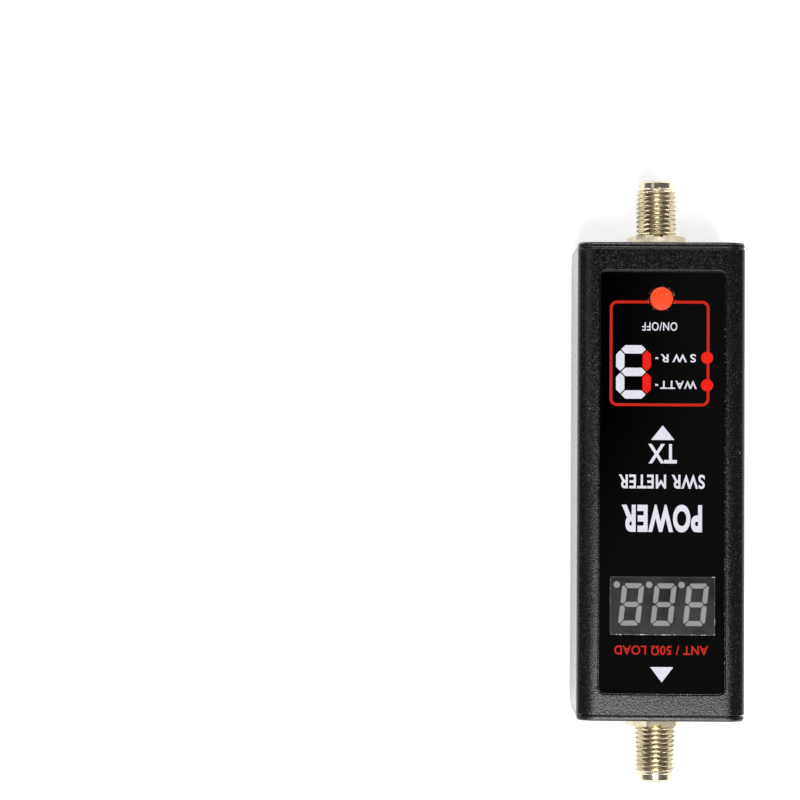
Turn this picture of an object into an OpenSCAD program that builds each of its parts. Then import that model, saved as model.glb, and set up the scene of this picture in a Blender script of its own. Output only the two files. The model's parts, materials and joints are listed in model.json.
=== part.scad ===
// Hand-size inline SWR and power meter for a transmitter and its antenna.
// The origin is the centre of the case's back face. +Z leaves the front face,
// +Y points at the transmitter end and +X at the side with the charging port.
// Lengths are in millimetres.

/* [Case] */
// Width of the case, across X
case_w = 25.4; // [25:0.1:28]
// Length of the case with its end plates, along Y
case_l = 72.5; // [70:0.5:90]
// Depth of the case from back face to front face, along Z
case_h = 21; // [20.5:0.1:22]
// Wall thickness of the extruded tube
wall = 1.5; // [1.4:0.1:1.7]
// Radius of the tube's long outer corners
corner_r = 1.9; // [1.6:0.1:2.4]
// Thickness of each end plate
plate_t = 1; // [1:0.1:1.4]

/* [Front label] */
// Width of the printed label
label_w = 18.9; // [18:0.1:19.5]
// Length of the printed label
label_l = 63.85; // [60:0.05:66]
// Thickness of the label sheet
label_t = 0.2; // [0.15:0.05:0.25]
// Radius of the label's corners
label_r = 1; // [0.6:0.1:1.5]
// Centre of the label along X
label_x = 0.1; // [-0.3:0.1:0.3]
// Depth of the pocket that holds the label
pocket_d = 0.25; // [0.2:0.05:0.3]

/* [Display] */
// Width of the display module, across X
display_w = 15.9; // [15.5:0.1:16.2]
// Height of the display module, along Y
display_h = 8.9; // [8.6:0.1:9.4]
// Centre of the display along X
display_x = 0.2; // [-0.3:0.1:0.3]
// Centre of the display along Y
display_y = -18.8; // [-20:0.1:-17]
// Height of one digit
digit_h = 6.4; // [5.8:0.05:6.6]
// Width of one digit
digit_w = 3.2; // [3:0.05:3.3]
// Distance from one digit to the next
digit_pitch = 4.88; // [4.7:0.02:4.9]
// Slant of the digits
digit_slant = 6; // [0:1:8]

/* [Button] */
// Diameter of the button
button_d = 3.5; // [3.2:0.1:3.6]
// Centre of the button along X
button_x = -0.1; // [-0.3:0.1:0.3]
// Centre of the button along Y
button_y = 27.6; // [26.5:0.1:28]
// Height of the button over the front face
button_out = 0.45; // [0.3:0.05:0.8]
// Travel of the button
button_travel = 0.25; // [0.2:0.05:0.25]

/* [Coaxial jacks] */
// Major diameter of the coupling thread
thread_d = 6.35; // [6.3:0.01:6.35]
// Length of a jack outside its end plate
jack_out = 10.2; // [10:0.1:11]
// Width of a jack's nut across its flats
nut_af = 8; // [7.8:0.1:8.2]
// Thickness of a jack's nut
nut_t = 1.25; // [1.1:0.05:1.6]
// Thickness of the washer under a nut
washer_t = 0.45; // [0.4:0.05:0.5]
// Turn of the transmitter-end nut
tx_nut_turn = 16.5; // [0:0.5:30]
// Turn of the antenna-end nut
antenna_nut_turn = 9; // [0:0.5:30]

/* [Inside] */
// Thickness of the main board
board_t = 1.2; // [1:0.1:1.2]
// Length of the battery cell
cell_l = 40; // [30:1:42]
// Width of the battery cell
cell_w = 14.6; // [12:0.1:14.8]
// Thickness of the battery cell
cell_t = 5.8; // [5:0.1:6]
// Centre of the charging socket along Y
usb_y = 8; // [6:0.5:10]

/* [Hidden] */
$fn = 64;
cut = 1;                              // how far a cutting shape runs past a face

// Case
tube_l = case_l - 2 * plate_t;
jack_z = case_h / 2;                  // height of the jacks' common axis
inner_w = case_w - 2 * wall;
inner_h = case_h - 2 * wall;
inner_r = 0.5;                        // inside corners of the tube
port_x = case_w / 2 - 3.1;            // screw ports in the tube's four corners
port_z = 3.1;
port_boss_r = 2;
screw_r = 0.975;
screw_hole_r = 1;
screw_l = 6;
screw_head_r = 1.75;
screw_head_t = screw_head_r - screw_r; // countersunk at 90 degrees
plate_hole_r = 1.1;
plate_gap = 0.1;                      // the plates are a little smaller than the tube
jack_hole_r = 3.25;
rib_t = 0.9;                          // ribs that hold the board's long edges
rib_w = 1;
rib_gap = 0.05;

// Label
label_gap = 0.15;                     // between the label and the edge of its pocket
label_y = -0.2;
window_gap = 0.1;                     // round the display in the label's window
case_window_gap = 0.2;                // round the display in the case's window
button_gap = 0.2;                     // round the button in the label
case_button_gap = 0.3;                // round the button in the case
label_top = case_h - pocket_d + label_t;

// Board
contact_r = 0.45;
board_z = jack_z + contact_r;         // underside of the board, over the jacks' contacts
board_top = board_z + board_t;
board_w = inner_w - 0.2;
board_l = tube_l - 4.5;

// Display
display_top = label_top - 0.1;
display_t = 6.5;
display_z = display_top - display_t;
segment_t = 0.3;
stroke = 0.72;                        // width of a segment
segment_gap = 0.09;                   // half the gap between neighbouring segments
point_r = 0.49;
point_x = -2.16;                      // decimal point from its digit's centre
point_y = 2.97;
digits_x = 0.1;                       // middle digit from the display's centre
digits_y = 0.2;
pin_rows = 7.6;
pin_pitch = 2.54;
pins_per_row = 6;
pin_w = 0.5;

// Switch
switch_w = 6;
switch_base_t = 3.2;
switch_cover_t = 0.3;
switch_floor_t = 0.8;
terminal_t = 0.3;
dome_r = 2;
dome_h = button_travel + 0.2;
dome_t = 0.08;
flange_r = 2.2;
well_r = 2.4;                         // the round well that holds the dome and the flange
button_top = case_h + button_out;
button_edge = 0.2;

// Jacks
plate_face = case_l / 2;
shoulder_t = 2;
shoulder_w = 7;
neck_r = 2.9;                         // plain neck inside the nut
nut_bore_r = 2.95;
nut_face = plate_face + washer_t + nut_t;
nut_notch_w = 1.45;                   // slot across the nut's outer face, toward the front
nut_notch_d = 0.45;
jack_tip = plate_face + jack_out;
tip_chamfer = 0.4;
mouth_r = 2.32;                       // socket for the plug's outer contact
mouth_d = 1.9;
insulator_r = 2.05;
socket_r = 0.48;
socket_d = 3;
leg_l = 2.2;
leg_w = 1;
end_pin_l = 3.5;                      // the contact's tail, soldered to the through line

// Charging socket
usb_w = 7.5;
usb_h = 2.5;
usb_d = 5.5;
usb_wall = 0.3;
usb_face_x = case_w / 2 - 0.2;
usb_z = board_top + usb_h / 2;
usb_cut_w = 8.3;
usb_cut_h = 3.3;
light_y = usb_y - 7.5;
light_hole_r = 0.8;

// Battery
pad_t = 0.5;
cell_y = -10;
cell_z = wall + pad_t;
lead_r = 0.55;
lead_pitch = 1.5;
lead_y = cell_y + cell_l / 2;
plug_y = 22;
plug_x = 4.25;

// ---------- shared shapes ----------

// A rectangle with round corners, centred on the origin.
module rounded_rect(w, h, r) {
    square([w - 2 * r, h], center = true);
    square([w, h - 2 * r], center = true);
    for (x = [-1, 1])
        for (y = [-1, 1])
            translate([x * (w / 2 - r), y * (h / 2 - r)])
                circle(r);
}

// A box from one corner at p, of size s, centred in X and Y and standing on p's height.
module block(p, s) {
    translate([p[0] - s[0] / 2, p[1] - s[1] / 2, p[2]])
        cube(s);
}

// Turns a profile drawn in X and Z into a solid that runs along +Y.
module along_y(from, length) {
    translate([0, from + length, 0])
        rotate([90, 0, 0])
            linear_extrude(length)
                children();
}

// Places a solid of revolution about +Y with its start at the origin, on the jacks' axis.
module on_jack_axis() {
    translate([0, 0, jack_z])
        rotate([-90, 0, 0])
            children();
}

// Copies its children to the antenna end.
module at_antenna_end() {
    mirror([0, 1, 0])
        children();
}

module screw_port_places() {
    for (x = [-port_x, port_x])
        for (z = [port_z, case_h - port_z])
            translate([x, z])
                children();
}

// ---------- case ----------

module tube_profile() {
    difference() {
        translate([0, case_h / 2])
            rounded_rect(case_w, case_h, corner_r);
        translate([0, case_h / 2])
            rounded_rect(inner_w, inner_h, inner_r);
    }
    screw_port_places()
        circle(port_boss_r);
    for (side = [-1, 1])
        for (z = [board_z - rib_gap - rib_t, board_top + rib_gap])
            translate([side * inner_w / 2, z + rib_t / 2])
                square([2 * rib_w, rib_t], center = true);
}

module front_pocket() {
    translate([label_x, label_y, case_h - pocket_d])
        linear_extrude(pocket_d + cut)
            rounded_rect(label_w + 2 * label_gap, label_l + 2 * label_gap, label_r + label_gap);
}

module display_opening(gap, z, t) {
    block([display_x, display_y, z], [display_w + 2 * gap, display_h + 2 * gap, t]);
}

module button_opening(gap, z, t) {
    translate([button_x, button_y, z])
        cylinder(r = button_d / 2 + gap, h = t);
}

module case_shell() {
    color([0.06, 0.06, 0.065])
        difference() {
            along_y(-tube_l / 2, tube_l)
                difference() {
                    tube_profile();
                    screw_port_places()
                        circle(screw_hole_r);
                }
            front_pocket();
            display_opening(case_window_gap, display_z - case_window_gap, display_t + 2 * cut);
            button_opening(case_button_gap, case_h - wall - cut, wall + 2 * cut);
            usb_opening();
            translate([inner_w / 2 - rib_w - cut, light_y, board_top + 0.4])
                rotate([0, 90, 0])
                    cylinder(r = light_hole_r, h = wall + rib_w + 2 * cut);
        }
}

// The opening for the charging plug, through the wall and the upper rib.
module usb_opening() {
    translate([inner_w / 2 - rib_w - cut, usb_y, usb_z])
        rotate([90, 0, 90])
            linear_extrude(wall + rib_w + 2 * cut)
                rounded_rect(usb_cut_w, usb_cut_h, 0.8);
}

module end_plate() {
    difference() {
        along_y(tube_l / 2, plate_t)
            difference() {
                translate([0, case_h / 2])
                    rounded_rect(case_w - plate_gap, case_h - plate_gap, corner_r);
                translate([0, jack_z])
                    circle(jack_hole_r);
                screw_port_places()
                    circle(plate_hole_r);
            }
        for (x = [-port_x, port_x])
            for (z = [port_z, case_h - port_z])
                translate([x, case_l / 2 - screw_head_t, z])
                    rotate([-90, 0, 0])
                        cylinder(r1 = screw_r, r2 = screw_head_r, h = screw_head_t);
    }
}

module tx_end_plate() {
    color([0.06, 0.06, 0.065])
        end_plate();
}

module antenna_end_plate() {
    color([0.06, 0.06, 0.065])
        at_antenna_end()
            end_plate();
}

// One countersunk screw with a cross recess, its head's face at the origin, along -Z.
module countersunk_screw() {
    recess_l = 1.9;
    recess_w = 0.42;
    recess_d = 0.5;
    difference() {
        union() {
            translate([0, 0, -screw_head_t])
                cylinder(r1 = screw_r, r2 = screw_head_r, h = screw_head_t);
            translate([0, 0, -screw_l])
                cylinder(r = screw_r, h = screw_l - screw_head_t);
        }
        block([0, 0, -recess_d], [recess_l, recess_w, recess_d + cut]);
        block([0, 0, -recess_d], [recess_w, recess_l, recess_d + cut]);
    }
}

module end_screws() {
    for (x = [-port_x, port_x])
        for (z = [port_z, case_h - port_z])
            translate([x, case_l / 2, z])
                rotate([-90, 0, 0])
                    countersunk_screw();
}

module tx_end_screws() {
    color([0.1, 0.1, 0.1])
        end_screws();
}

module antenna_end_screws() {
    color([0.1, 0.1, 0.1])
        at_antenna_end()
            end_screws();
}

module front_label() {
    color([0.02, 0.02, 0.022])
        difference() {
            translate([label_x, label_y, case_h - pocket_d])
                linear_extrude(label_t)
                    rounded_rect(label_w, label_l, label_r);
            display_opening(window_gap, case_h - pocket_d - cut, label_t + 2 * cut);
            button_opening(button_gap, case_h - pocket_d - cut, label_t + 2 * cut);
        }
}

// ---------- board and the radio-frequency line ----------

line_w = 1.2;
line_t = 0.05;
line_l = 2 * (tube_l / 2 - shoulder_t - end_pin_l) - 0.1;
pickup_offset = 2.6;
pickup_l = 22;
pickup_w = 0.8;

module main_board() {
    color([0.05, 0.3, 0.14])
        difference() {
            block([0, 0, board_z], [board_w, board_l, board_t]);
            display_pin_places()
                cylinder(r = 0.45, h = display_t * 2, center = true);
            switch_terminal_places()
                cylinder(r = 0.5, h = display_t * 2, center = true);
        }
}

module through_line() {
    color([0.85, 0.6, 0.3])
        block([0, 0, board_z - line_t], [line_w, line_l, line_t]);
}

module pickup_lines() {
    color([0.85, 0.6, 0.3])
        for (side = [-1, 1])
            block([side * pickup_offset, 0, board_z - line_t], [pickup_w, pickup_l, line_t]);
}

// A chip part hanging under the board, centred on p.
module under_board(p, s) {
    block([p[0], p[1], board_z - s[2]], s);
}

module on_board(p, s) {
    block([p[0], p[1], board_top], s);
}

module termination_resistors() {
    color([0.12, 0.12, 0.13])
        for (side = [-1, 1])
            under_board([side * (pickup_offset + 1.6), side * 10], [2, 1.25, 0.55]);
}

module detector_diodes() {
    color([0.1, 0.1, 0.1])
        for (side = [-1, 1])
            under_board([side * (pickup_offset + 1.7), -side * 10], [1.8, 1.3, 0.95]);
}

module calibration_trimmers() {
    color([0.75, 0.72, 0.65])
        for (side = [-1, 1])
            difference() {
                under_board([side * 8, side * 4], [3, 3.2, 1.3]);
                under_board([side * 8, side * 4], [1.6, 0.4, 3]);
            }
}

// ---------- display ----------

// A point of an upright digit, leaned over by the slant.
function lean(p) = [p[0] + p[1] * tan(digit_slant), p[1]];

// One segment's outline, from a to b, with pointed ends at 45 degrees.
function segment_points(a, b) =
    let (
        d = (b - a) / norm(b - a),
        n = [-d[1], d[0]] * stroke / 2,
        s = a + d * segment_gap,
        e = b - d * segment_gap,
        h = d * stroke / 2
    )
    [s, s + h + n, e - h + n, e, e - h - n, s + h - n];

// The corners that a digit's seven segments run between.
module digit_outlines() {
    x = (digit_w - stroke) / 2;
    y = (digit_h - stroke) / 2;
    runs = [
        [[-x, y], [x, y]], [[-x, 0], [x, 0]], [[-x, -y], [x, -y]],
        [[-x, 0], [-x, y]], [[x, 0], [x, y]],
        [[-x, -y], [-x, 0]], [[x, -y], [x, 0]]
    ];
    for (r = runs)
        polygon([for (p = segment_points(r[0], r[1])) lean(p)]);
    translate([point_x, point_y])
        circle(point_r);
}

module display_digits() {
    for (i = [-1:1])
        translate([display_x + digits_x + i * digit_pitch, display_y + digits_y])
            digit_outlines();
}

module display_body() {
    color([0.2, 0.2, 0.21])
        difference() {
            block([display_x, display_y, display_z], [display_w, display_h, display_t]);
            translate([0, 0, display_top - segment_t])
                linear_extrude(segment_t + cut)
                    display_digits();
        }
}

module display_segments() {
    color([0.6, 0.6, 0.6])
        translate([0, 0, display_top - segment_t])
            linear_extrude(segment_t)
                display_digits();
}

module display_pin_places() {
    for (i = [0:pins_per_row - 1])
        for (side = [-1, 1])
            translate([
                display_x + (i - (pins_per_row - 1) / 2) * pin_pitch,
                display_y + side * pin_rows / 2,
                board_z
            ])
                children();
}

module display_pins() {
    pin_below = 0.8;
    color([0.8, 0.8, 0.8])
        display_pin_places()
            block([0, 0, -pin_below], [pin_w, pin_w, display_z - board_z + pin_below]);
}

// ---------- button switch ----------

switch_z = board_top;
dome_z = switch_z + switch_floor_t;
flange_z = dome_z + dome_h + 0.02;
flange_top = switch_z + switch_base_t - 0.03;

module switch_place() {
    translate([button_x, button_y, 0])
        children();
}

module button_plunger() {
    color([0.93, 0.3, 0.16])
        switch_place()
            rotate_extrude()
                polygon([
                    [0, flange_z], [flange_r, flange_z], [flange_r, flange_top],
                    [button_d / 2, flange_top], [button_d / 2, button_top - button_edge],
                    [button_d / 2 - button_edge, button_top], [0, button_top]
                ]);
}

module switch_base() {
    color([0.08, 0.08, 0.08])
        switch_place()
            difference() {
                block([0, 0, switch_z], [switch_w, switch_w, switch_base_t]);
                translate([0, 0, dome_z])
                    cylinder(r = well_r, h = switch_base_t);
            }
}

module switch_cover() {
    color([0.75, 0.75, 0.76])
        switch_place()
            difference() {
                block([0, 0, switch_z + switch_base_t], [switch_w, switch_w, switch_cover_t]);
                translate([0, 0, switch_z])
                    cylinder(r = button_d / 2 + button_gap, h = switch_base_t * 2);
            }
}

// The snap dome, a shallow steel cap that the button presses flat.
module switch_dome() {
    cap_h = dome_h - dome_t;
    cap_r = (dome_r * dome_r + cap_h * cap_h) / (2 * cap_h);
    color([0.8, 0.8, 0.78])
        switch_place()
            translate([0, 0, dome_z])
                intersection() {
                    cylinder(r = dome_r, h = dome_h);
                    difference() {
                        translate([0, 0, dome_h - cap_r - dome_t])
                            sphere(cap_r + dome_t);
                        translate([0, 0, dome_h - cap_r - dome_t])
                            sphere(cap_r);
                    }
                }
}

module switch_terminal_places() {
    for (x = [-1, 1])
        for (y = [-1, 1])
            translate([button_x + x * (switch_w + terminal_t) / 2, button_y + y * 2.25, board_z])
                children();
}

module switch_terminals() {
    leg_below = 0.7;
    color([0.8, 0.8, 0.8])
        switch_terminal_places()
            block([0, 0, -leg_below], [terminal_t, 0.7, board_t + leg_below + 1.2]);
}

// ---------- coaxial jacks ----------

module jack_body() {
    straight_end = jack_tip - tip_chamfer;
    color([0.72, 0.7, 0.62])
        difference() {
            union() {
                block(
                    [0, tube_l / 2 - shoulder_t / 2, jack_z - shoulder_w / 2],
                    [shoulder_w, shoulder_t, shoulder_w]
                );
                jack_legs();
                on_jack_axis()
                    rotate_extrude()
                        polygon([
                            [0, tube_l / 2 - 0.5], [neck_r, tube_l / 2 - 0.5], [neck_r, nut_face],
                            [thread_d / 2, nut_face], [thread_d / 2, straight_end],
                            [thread_d / 2 - tip_chamfer, jack_tip], [0, jack_tip]
                        ]);
            }
            on_jack_axis() {
                translate([0, 0, jack_tip - mouth_d])
                    cylinder(r = mouth_r, h = mouth_d + cut);
                translate([0, 0, tube_l / 2 - shoulder_t - cut])
                    cylinder(r = insulator_r, h = jack_out + shoulder_t + plate_t);
            }
        }
}

// Four legs that straddle the end of the board.
module jack_legs() {
    for (x = [-1, 1]) {
        block(
            [x * (shoulder_w - leg_w) / 2, tube_l / 2 - shoulder_t - leg_l / 2 + 0.1, board_top],
            [leg_w, leg_l + 0.2, leg_w]
        );
        block(
            [x * (shoulder_w - leg_w) / 2, tube_l / 2 - shoulder_t - leg_l / 2 + 0.1, board_z - leg_w],
            [leg_w, leg_l + 0.2, leg_w]
        );
    }
}

module jack_insulator() {
    start = tube_l / 2 - shoulder_t;
    end = jack_tip - mouth_d;
    color([0.95, 0.95, 0.93])
        on_jack_axis()
            difference() {
                translate([0, 0, start])
                    cylinder(r = insulator_r, h = end - start);
                translate([0, 0, start - cut])
                    cylinder(r = contact_r + 0.3, h = end - start + 2 * cut);
            }
}

module jack_contact() {
    start = tube_l / 2 - shoulder_t;
    end = jack_tip - mouth_d;
    head_r = contact_r + 0.3;
    color([0.85, 0.65, 0.25])
        on_jack_axis()
            difference() {
                union() {
                    translate([0, 0, start])
                        cylinder(r = head_r, h = end - start);
                    translate([0, 0, start - end_pin_l])
                        cylinder(r = contact_r, h = end_pin_l + 0.5);
                }
                translate([0, 0, end - socket_d])
                    cylinder(r = socket_r, h = socket_d + cut);
                for (turn = [0, 90])
                    rotate([0, 0, turn])
                        block([0, 0, end - 2], [2, 0.18, 2 + cut]);
            }
}

module jack_washer() {
    color([0.75, 0.73, 0.66])
        on_jack_axis()
            translate([0, 0, plate_face])
                difference() {
                    cylinder(r = 4.1, h = washer_t);
                    translate([0, 0, -cut])
                        cylinder(r = jack_hole_r, h = washer_t + 2 * cut);
                }
}

// Hexagon nut with a slot in its outer face. A cone of 2 to 1 takes the chamfer off its corners.
module jack_nut(turn) {
    corner = nut_af / 2 / cos(30);
    chamfer = 0.35;
    past = 1;
    color([0.75, 0.73, 0.66])
        on_jack_axis()
            translate([0, 0, plate_face + washer_t])
                difference() {
                    intersection() {
                        rotate([0, 0, -turn])
                            cylinder(r = corner, h = nut_t, $fn = 6);
                        rotate_extrude()
                            polygon([
                                [0, 0], [corner + past, 0],
                                [corner + past, nut_t - chamfer - past / 2],
                                [corner - 2 * chamfer, nut_t], [0, nut_t]
                            ]);
                    }
                    translate([0, 0, -cut])
                        cylinder(r = nut_bore_r, h = nut_t + 2 * cut);
                    block([0, -nut_af / 2, nut_t - nut_notch_d], [nut_notch_w, nut_af, nut_notch_d + cut]);
                }
}

module tx_jack_body() {
    jack_body();
}

module tx_jack_insulator() {
    jack_insulator();
}

module tx_jack_contact() {
    jack_contact();
}

module tx_jack_washer() {
    jack_washer();
}

module tx_jack_nut() {
    jack_nut(tx_nut_turn);
}

module antenna_jack_body() {
    at_antenna_end()
        jack_body();
}

module antenna_jack_insulator() {
    at_antenna_end()
        jack_insulator();
}

module antenna_jack_contact() {
    at_antenna_end()
        jack_contact();
}

module antenna_jack_washer() {
    at_antenna_end()
        jack_washer();
}

module antenna_jack_nut() {
    at_antenna_end()
        jack_nut(antenna_nut_turn);
}

// ---------- charging socket ----------

// The socket's outline in Y and Z: wide at the top, with slanted lower corners.
module usb_outline(shrink) {
    w = usb_w / 2 - shrink;
    h = usb_h / 2 - shrink;
    slant_w = 1;
    slant_h = 0.75;
    polygon([
        [-w, h], [w, h], [w, -h + slant_h], [w - slant_w, -h],
        [-w + slant_w, -h], [-w, -h + slant_h]
    ]);
}

module along_usb(from, length) {
    translate([from, usb_y, usb_z])
        rotate([90, 0, 90])
            linear_extrude(length)
                children();
}

module usb_shell() {
    color([0.78, 0.78, 0.78])
        difference() {
            along_usb(usb_face_x - usb_d, usb_d)
                usb_outline(0);
            along_usb(usb_face_x - usb_d + usb_wall, usb_d)
                usb_outline(usb_wall);
        }
}

module usb_tongue() {
    color([0.07, 0.07, 0.07])
        along_usb(usb_face_x - usb_d + usb_wall, usb_d - usb_wall - 0.6)
            translate([0, 0.25])
                square([3.7, 0.6], center = true);
}

module usb_contacts() {
    color([0.85, 0.65, 0.25])
        for (i = [-2:2])
            along_usb(usb_face_x - usb_d + usb_wall, usb_d - usb_wall - 1.2)
                translate([i * 0.65, -0.11])
                    square([0.3, 0.12], center = true);
}

module charge_light() {
    color([0.9, 0.9, 0.85])
        on_board([board_w / 2 - 1.6, light_y], [1, 1.6, 0.7]);
}

// ---------- battery ----------

module battery_cell() {
    color([0.7, 0.71, 0.73])
        translate([0, cell_y, cell_z])
            linear_extrude(cell_t)
                rounded_rect(cell_w, cell_l, 1.2);
}

module battery_pad() {
    color([0.15, 0.15, 0.16])
        block([0, cell_y, wall], [cell_w - 2, cell_l - 4, pad_t]);
}

// The direction of a wire at its point i, halfway between the runs that meet there.
function heading(points, i) =
    let (
        before = points[max(i, 1)] - points[max(i, 1) - 1],
        j = min(i, len(points) - 2),
        after = points[j + 1] - points[j],
        sum = before / norm(before) + after / norm(after)
    )
    sum / norm(sum);

// A wire of eight sides swept along a list of points.
module wire(points) {
    sides = 8;
    rings = len(points);
    up = [0, 0, 1];
    corners = [
        for (i = [0:rings - 1])
            let (
                d = heading(points, i),
                u = cross(d, up) / norm(cross(d, up)),
                v = cross(u, d)
            )
            for (k = [0:sides - 1])
                points[i] + lead_r * (u * cos(360 * k / sides) + v * sin(360 * k / sides))
    ];
    walls = [
        for (i = [0:rings - 2])
            for (k = [0:sides - 1])
                let (n = (k + 1) % sides)
                [i * sides + k, i * sides + n, (i + 1) * sides + n, (i + 1) * sides + k]
    ];
    first = [for (k = [0:sides - 1]) sides - 1 - k];
    last = [for (k = [0:sides - 1]) (rings - 1) * sides + k];
    polyhedron(corners, concat([first], walls, [last]));
}

function lead_route(side) = [
    [side * 2.4, lead_y, cell_z + 3],
    [side * 2.4, lead_y + 1.5, cell_z + 3],
    [plug_x + side * lead_pitch / 2, plug_y - 5, board_z - 2.6],
    [plug_x + side * lead_pitch / 2, plug_y - 3.8, board_z - 2.3],
    [plug_x + side * lead_pitch / 2, plug_y - 2.6, board_z - 2.3]
];

module battery_lead_red() {
    color([0.75, 0.05, 0.04])
        wire(lead_route(1));
}

module battery_lead_black() {
    color([0.03, 0.03, 0.03])
        wire(lead_route(-1));
}

module battery_header() {
    color([0.9, 0.88, 0.8])
        difference() {
            under_board([plug_x, plug_y + 1], [6, 4, 4.2]);
            block([plug_x, plug_y + 0.4, board_z - 3.7], [5, 3.2, 2.9]);
        }
}

module battery_plug() {
    color([0.92, 0.9, 0.84])
        block([plug_x, plug_y - 0.35, board_z - 3.6], [4.8, 4.5, 2.7]);
}

// ---------- chips ----------

chip = 5;
chip_x = -5.5;
chip_y = 6;

module microcontroller() {
    color([0.07, 0.07, 0.08])
        on_board([chip_x, chip_y], [chip, chip, 1]);
}

module microcontroller_leads() {
    color([0.8, 0.8, 0.8])
        for (turn = [0:90:270])
            translate([chip_x, chip_y, 0])
                rotate([0, 0, turn])
                    for (i = [-3:3])
                        block([chip / 2 + 0.4, i * 0.65, board_top], [0.8, 0.25, 0.15]);
}

module charger_chip() {
    color([0.07, 0.07, 0.08])
        on_board([3, 16.5], [3, 1.7, 1.1]);
}

module voltage_regulator() {
    color([0.07, 0.07, 0.08])
        on_board([-5, 16.5], [2.9, 1.4, 1.1]);
}

module chip_resistors() {
    color([0.1, 0.1, 0.11])
        for (i = [0:7])
            on_board([-7 + i * 2, -9.5], [0.85, 1.6, 0.45]);
}

module chip_capacitors() {
    color([0.62, 0.5, 0.36])
        for (p = [[-8.5, -2], [-5, -2], [-1.5, 12], [3, 13], [-8.5, 16.5]])
            on_board(p, [1.6, 0.85, 0.8]);
}

case_shell();
tx_end_plate();
antenna_end_plate();
tx_end_screws();
antenna_end_screws();
front_label();
main_board();
through_line();
pickup_lines();
termination_resistors();
detector_diodes();
calibration_trimmers();
display_body();
display_segments();
display_pins();
button_plunger();
switch_base();
switch_cover();
switch_dome();
switch_terminals();
tx_jack_body();
tx_jack_insulator();
tx_jack_contact();
tx_jack_washer();
tx_jack_nut();
antenna_jack_body();
antenna_jack_insulator();
antenna_jack_contact();
antenna_jack_washer();
antenna_jack_nut();
usb_shell();
usb_tongue();
usb_contacts();
charge_light();
battery_cell();
battery_pad();
battery_lead_red();
battery_lead_black();
battery_header();
battery_plug();
microcontroller();
microcontroller_leads();
charger_chip();
voltage_regulator();
chip_resistors();
chip_capacitors();
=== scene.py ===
import json
import math
import random

import bmesh
import bpy
from bpy.props import FloatProperty, FloatVectorProperty, IntProperty, PointerProperty
from mathutils import Matrix, Vector


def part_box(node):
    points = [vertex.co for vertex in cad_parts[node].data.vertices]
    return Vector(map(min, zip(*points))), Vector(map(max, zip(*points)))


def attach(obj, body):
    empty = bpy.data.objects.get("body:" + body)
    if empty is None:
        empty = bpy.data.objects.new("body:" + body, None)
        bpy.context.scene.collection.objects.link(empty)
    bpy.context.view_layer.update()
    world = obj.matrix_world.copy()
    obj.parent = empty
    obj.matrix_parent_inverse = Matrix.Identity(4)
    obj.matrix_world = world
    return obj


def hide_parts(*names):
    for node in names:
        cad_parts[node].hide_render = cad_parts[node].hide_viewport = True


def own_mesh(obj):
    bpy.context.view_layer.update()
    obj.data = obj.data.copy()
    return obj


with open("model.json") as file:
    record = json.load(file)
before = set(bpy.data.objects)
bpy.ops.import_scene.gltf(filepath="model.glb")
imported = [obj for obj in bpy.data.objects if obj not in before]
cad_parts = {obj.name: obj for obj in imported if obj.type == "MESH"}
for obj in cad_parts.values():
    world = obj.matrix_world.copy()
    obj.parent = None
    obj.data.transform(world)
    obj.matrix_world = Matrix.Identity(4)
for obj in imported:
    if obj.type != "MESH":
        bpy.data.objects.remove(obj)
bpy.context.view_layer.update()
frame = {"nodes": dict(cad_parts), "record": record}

bl_info = {
    "name": "SWR Meter",
    "version": (1, 0, 0),
    "blender": (4, 5, 0),
    "location": "3D View > Sidebar > SWR Meter",
    "description": "Builds the finished look of a hand-size SWR and power meter around its frame",
    "category": "Object",
}

MM = 0.001
METER = "meter"  # the body that holds every piece but the button
BUTTON = "button"
ENDS = {"tx": 1, "antenna": -1}  # each jack's end of the case, by the sign of Y
OUT_OF_END = Matrix.Rotation(math.radians(-90), 4, "X")  # local Z to the frame's +Y
OUT_OF_SIDE = Matrix(((0, 0, 1), (1, 0, 0), (0, 1, 0))).to_4x4()  # local X, Y, Z to the frame's Y, Z, X
OVER = 1.0  # how far a cutter reaches past what it cuts, in millimetres
POCKET_GAP, POCKET_CORNER = 0.15, 1.15  # round the label, in the case's front
BUTTON_RADIUS, LABEL_HOLE_RADIUS = 1.75, 1.95
LIGHT_HOLE_RADIUS = 0.8
SCREW_HEAD_RADIUS = 1.75
INK_UNDERLAP = 0.01  # how far the ink reaches down into the film


# ---------- sizes that come from the frame ----------


def box_mm(node):
    """Lowest and highest corner of a frame node, in millimetres."""
    low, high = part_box(node)
    return low / MM, high / MM


def middle(node):
    low, high = box_mm(node)
    return (low + high) / 2


def extent(node):
    low, high = box_mm(node)
    return high - low


def span_along(node):
    """A node's nearest and furthest distance from the case's middle, along Y."""
    distances = [abs(corner.y) for corner in box_mm(node)]
    return min(distances), max(distances)


# ---------- outlines and edge profiles, in millimetres ----------


def rounded_rect(width, height, radius, steps=8, rise=None):
    """Points of a rectangle with round corners, anticlockwise about the origin.

    Rise makes the corners elliptical.
    """
    rise = radius if rise is None else rise
    points = []
    for k, (sx, sy) in enumerate(((1, 1), (-1, 1), (-1, -1), (1, -1))):
        for s in range(steps + 1):
            a = math.pi / 2 * (k + s / steps)
            x = sx * (width / 2 - radius) + radius * math.cos(a)
            y = sy * (height / 2 - rise) + rise * math.sin(a)
            points.append((x, y))
    return points


def circle(radius, steps=48, x=0.0, y=0.0):
    angles = [2 * math.pi * s / steps for s in range(steps)]
    return [(x + radius * math.cos(a), y + radius * math.sin(a)) for a in angles]


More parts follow.
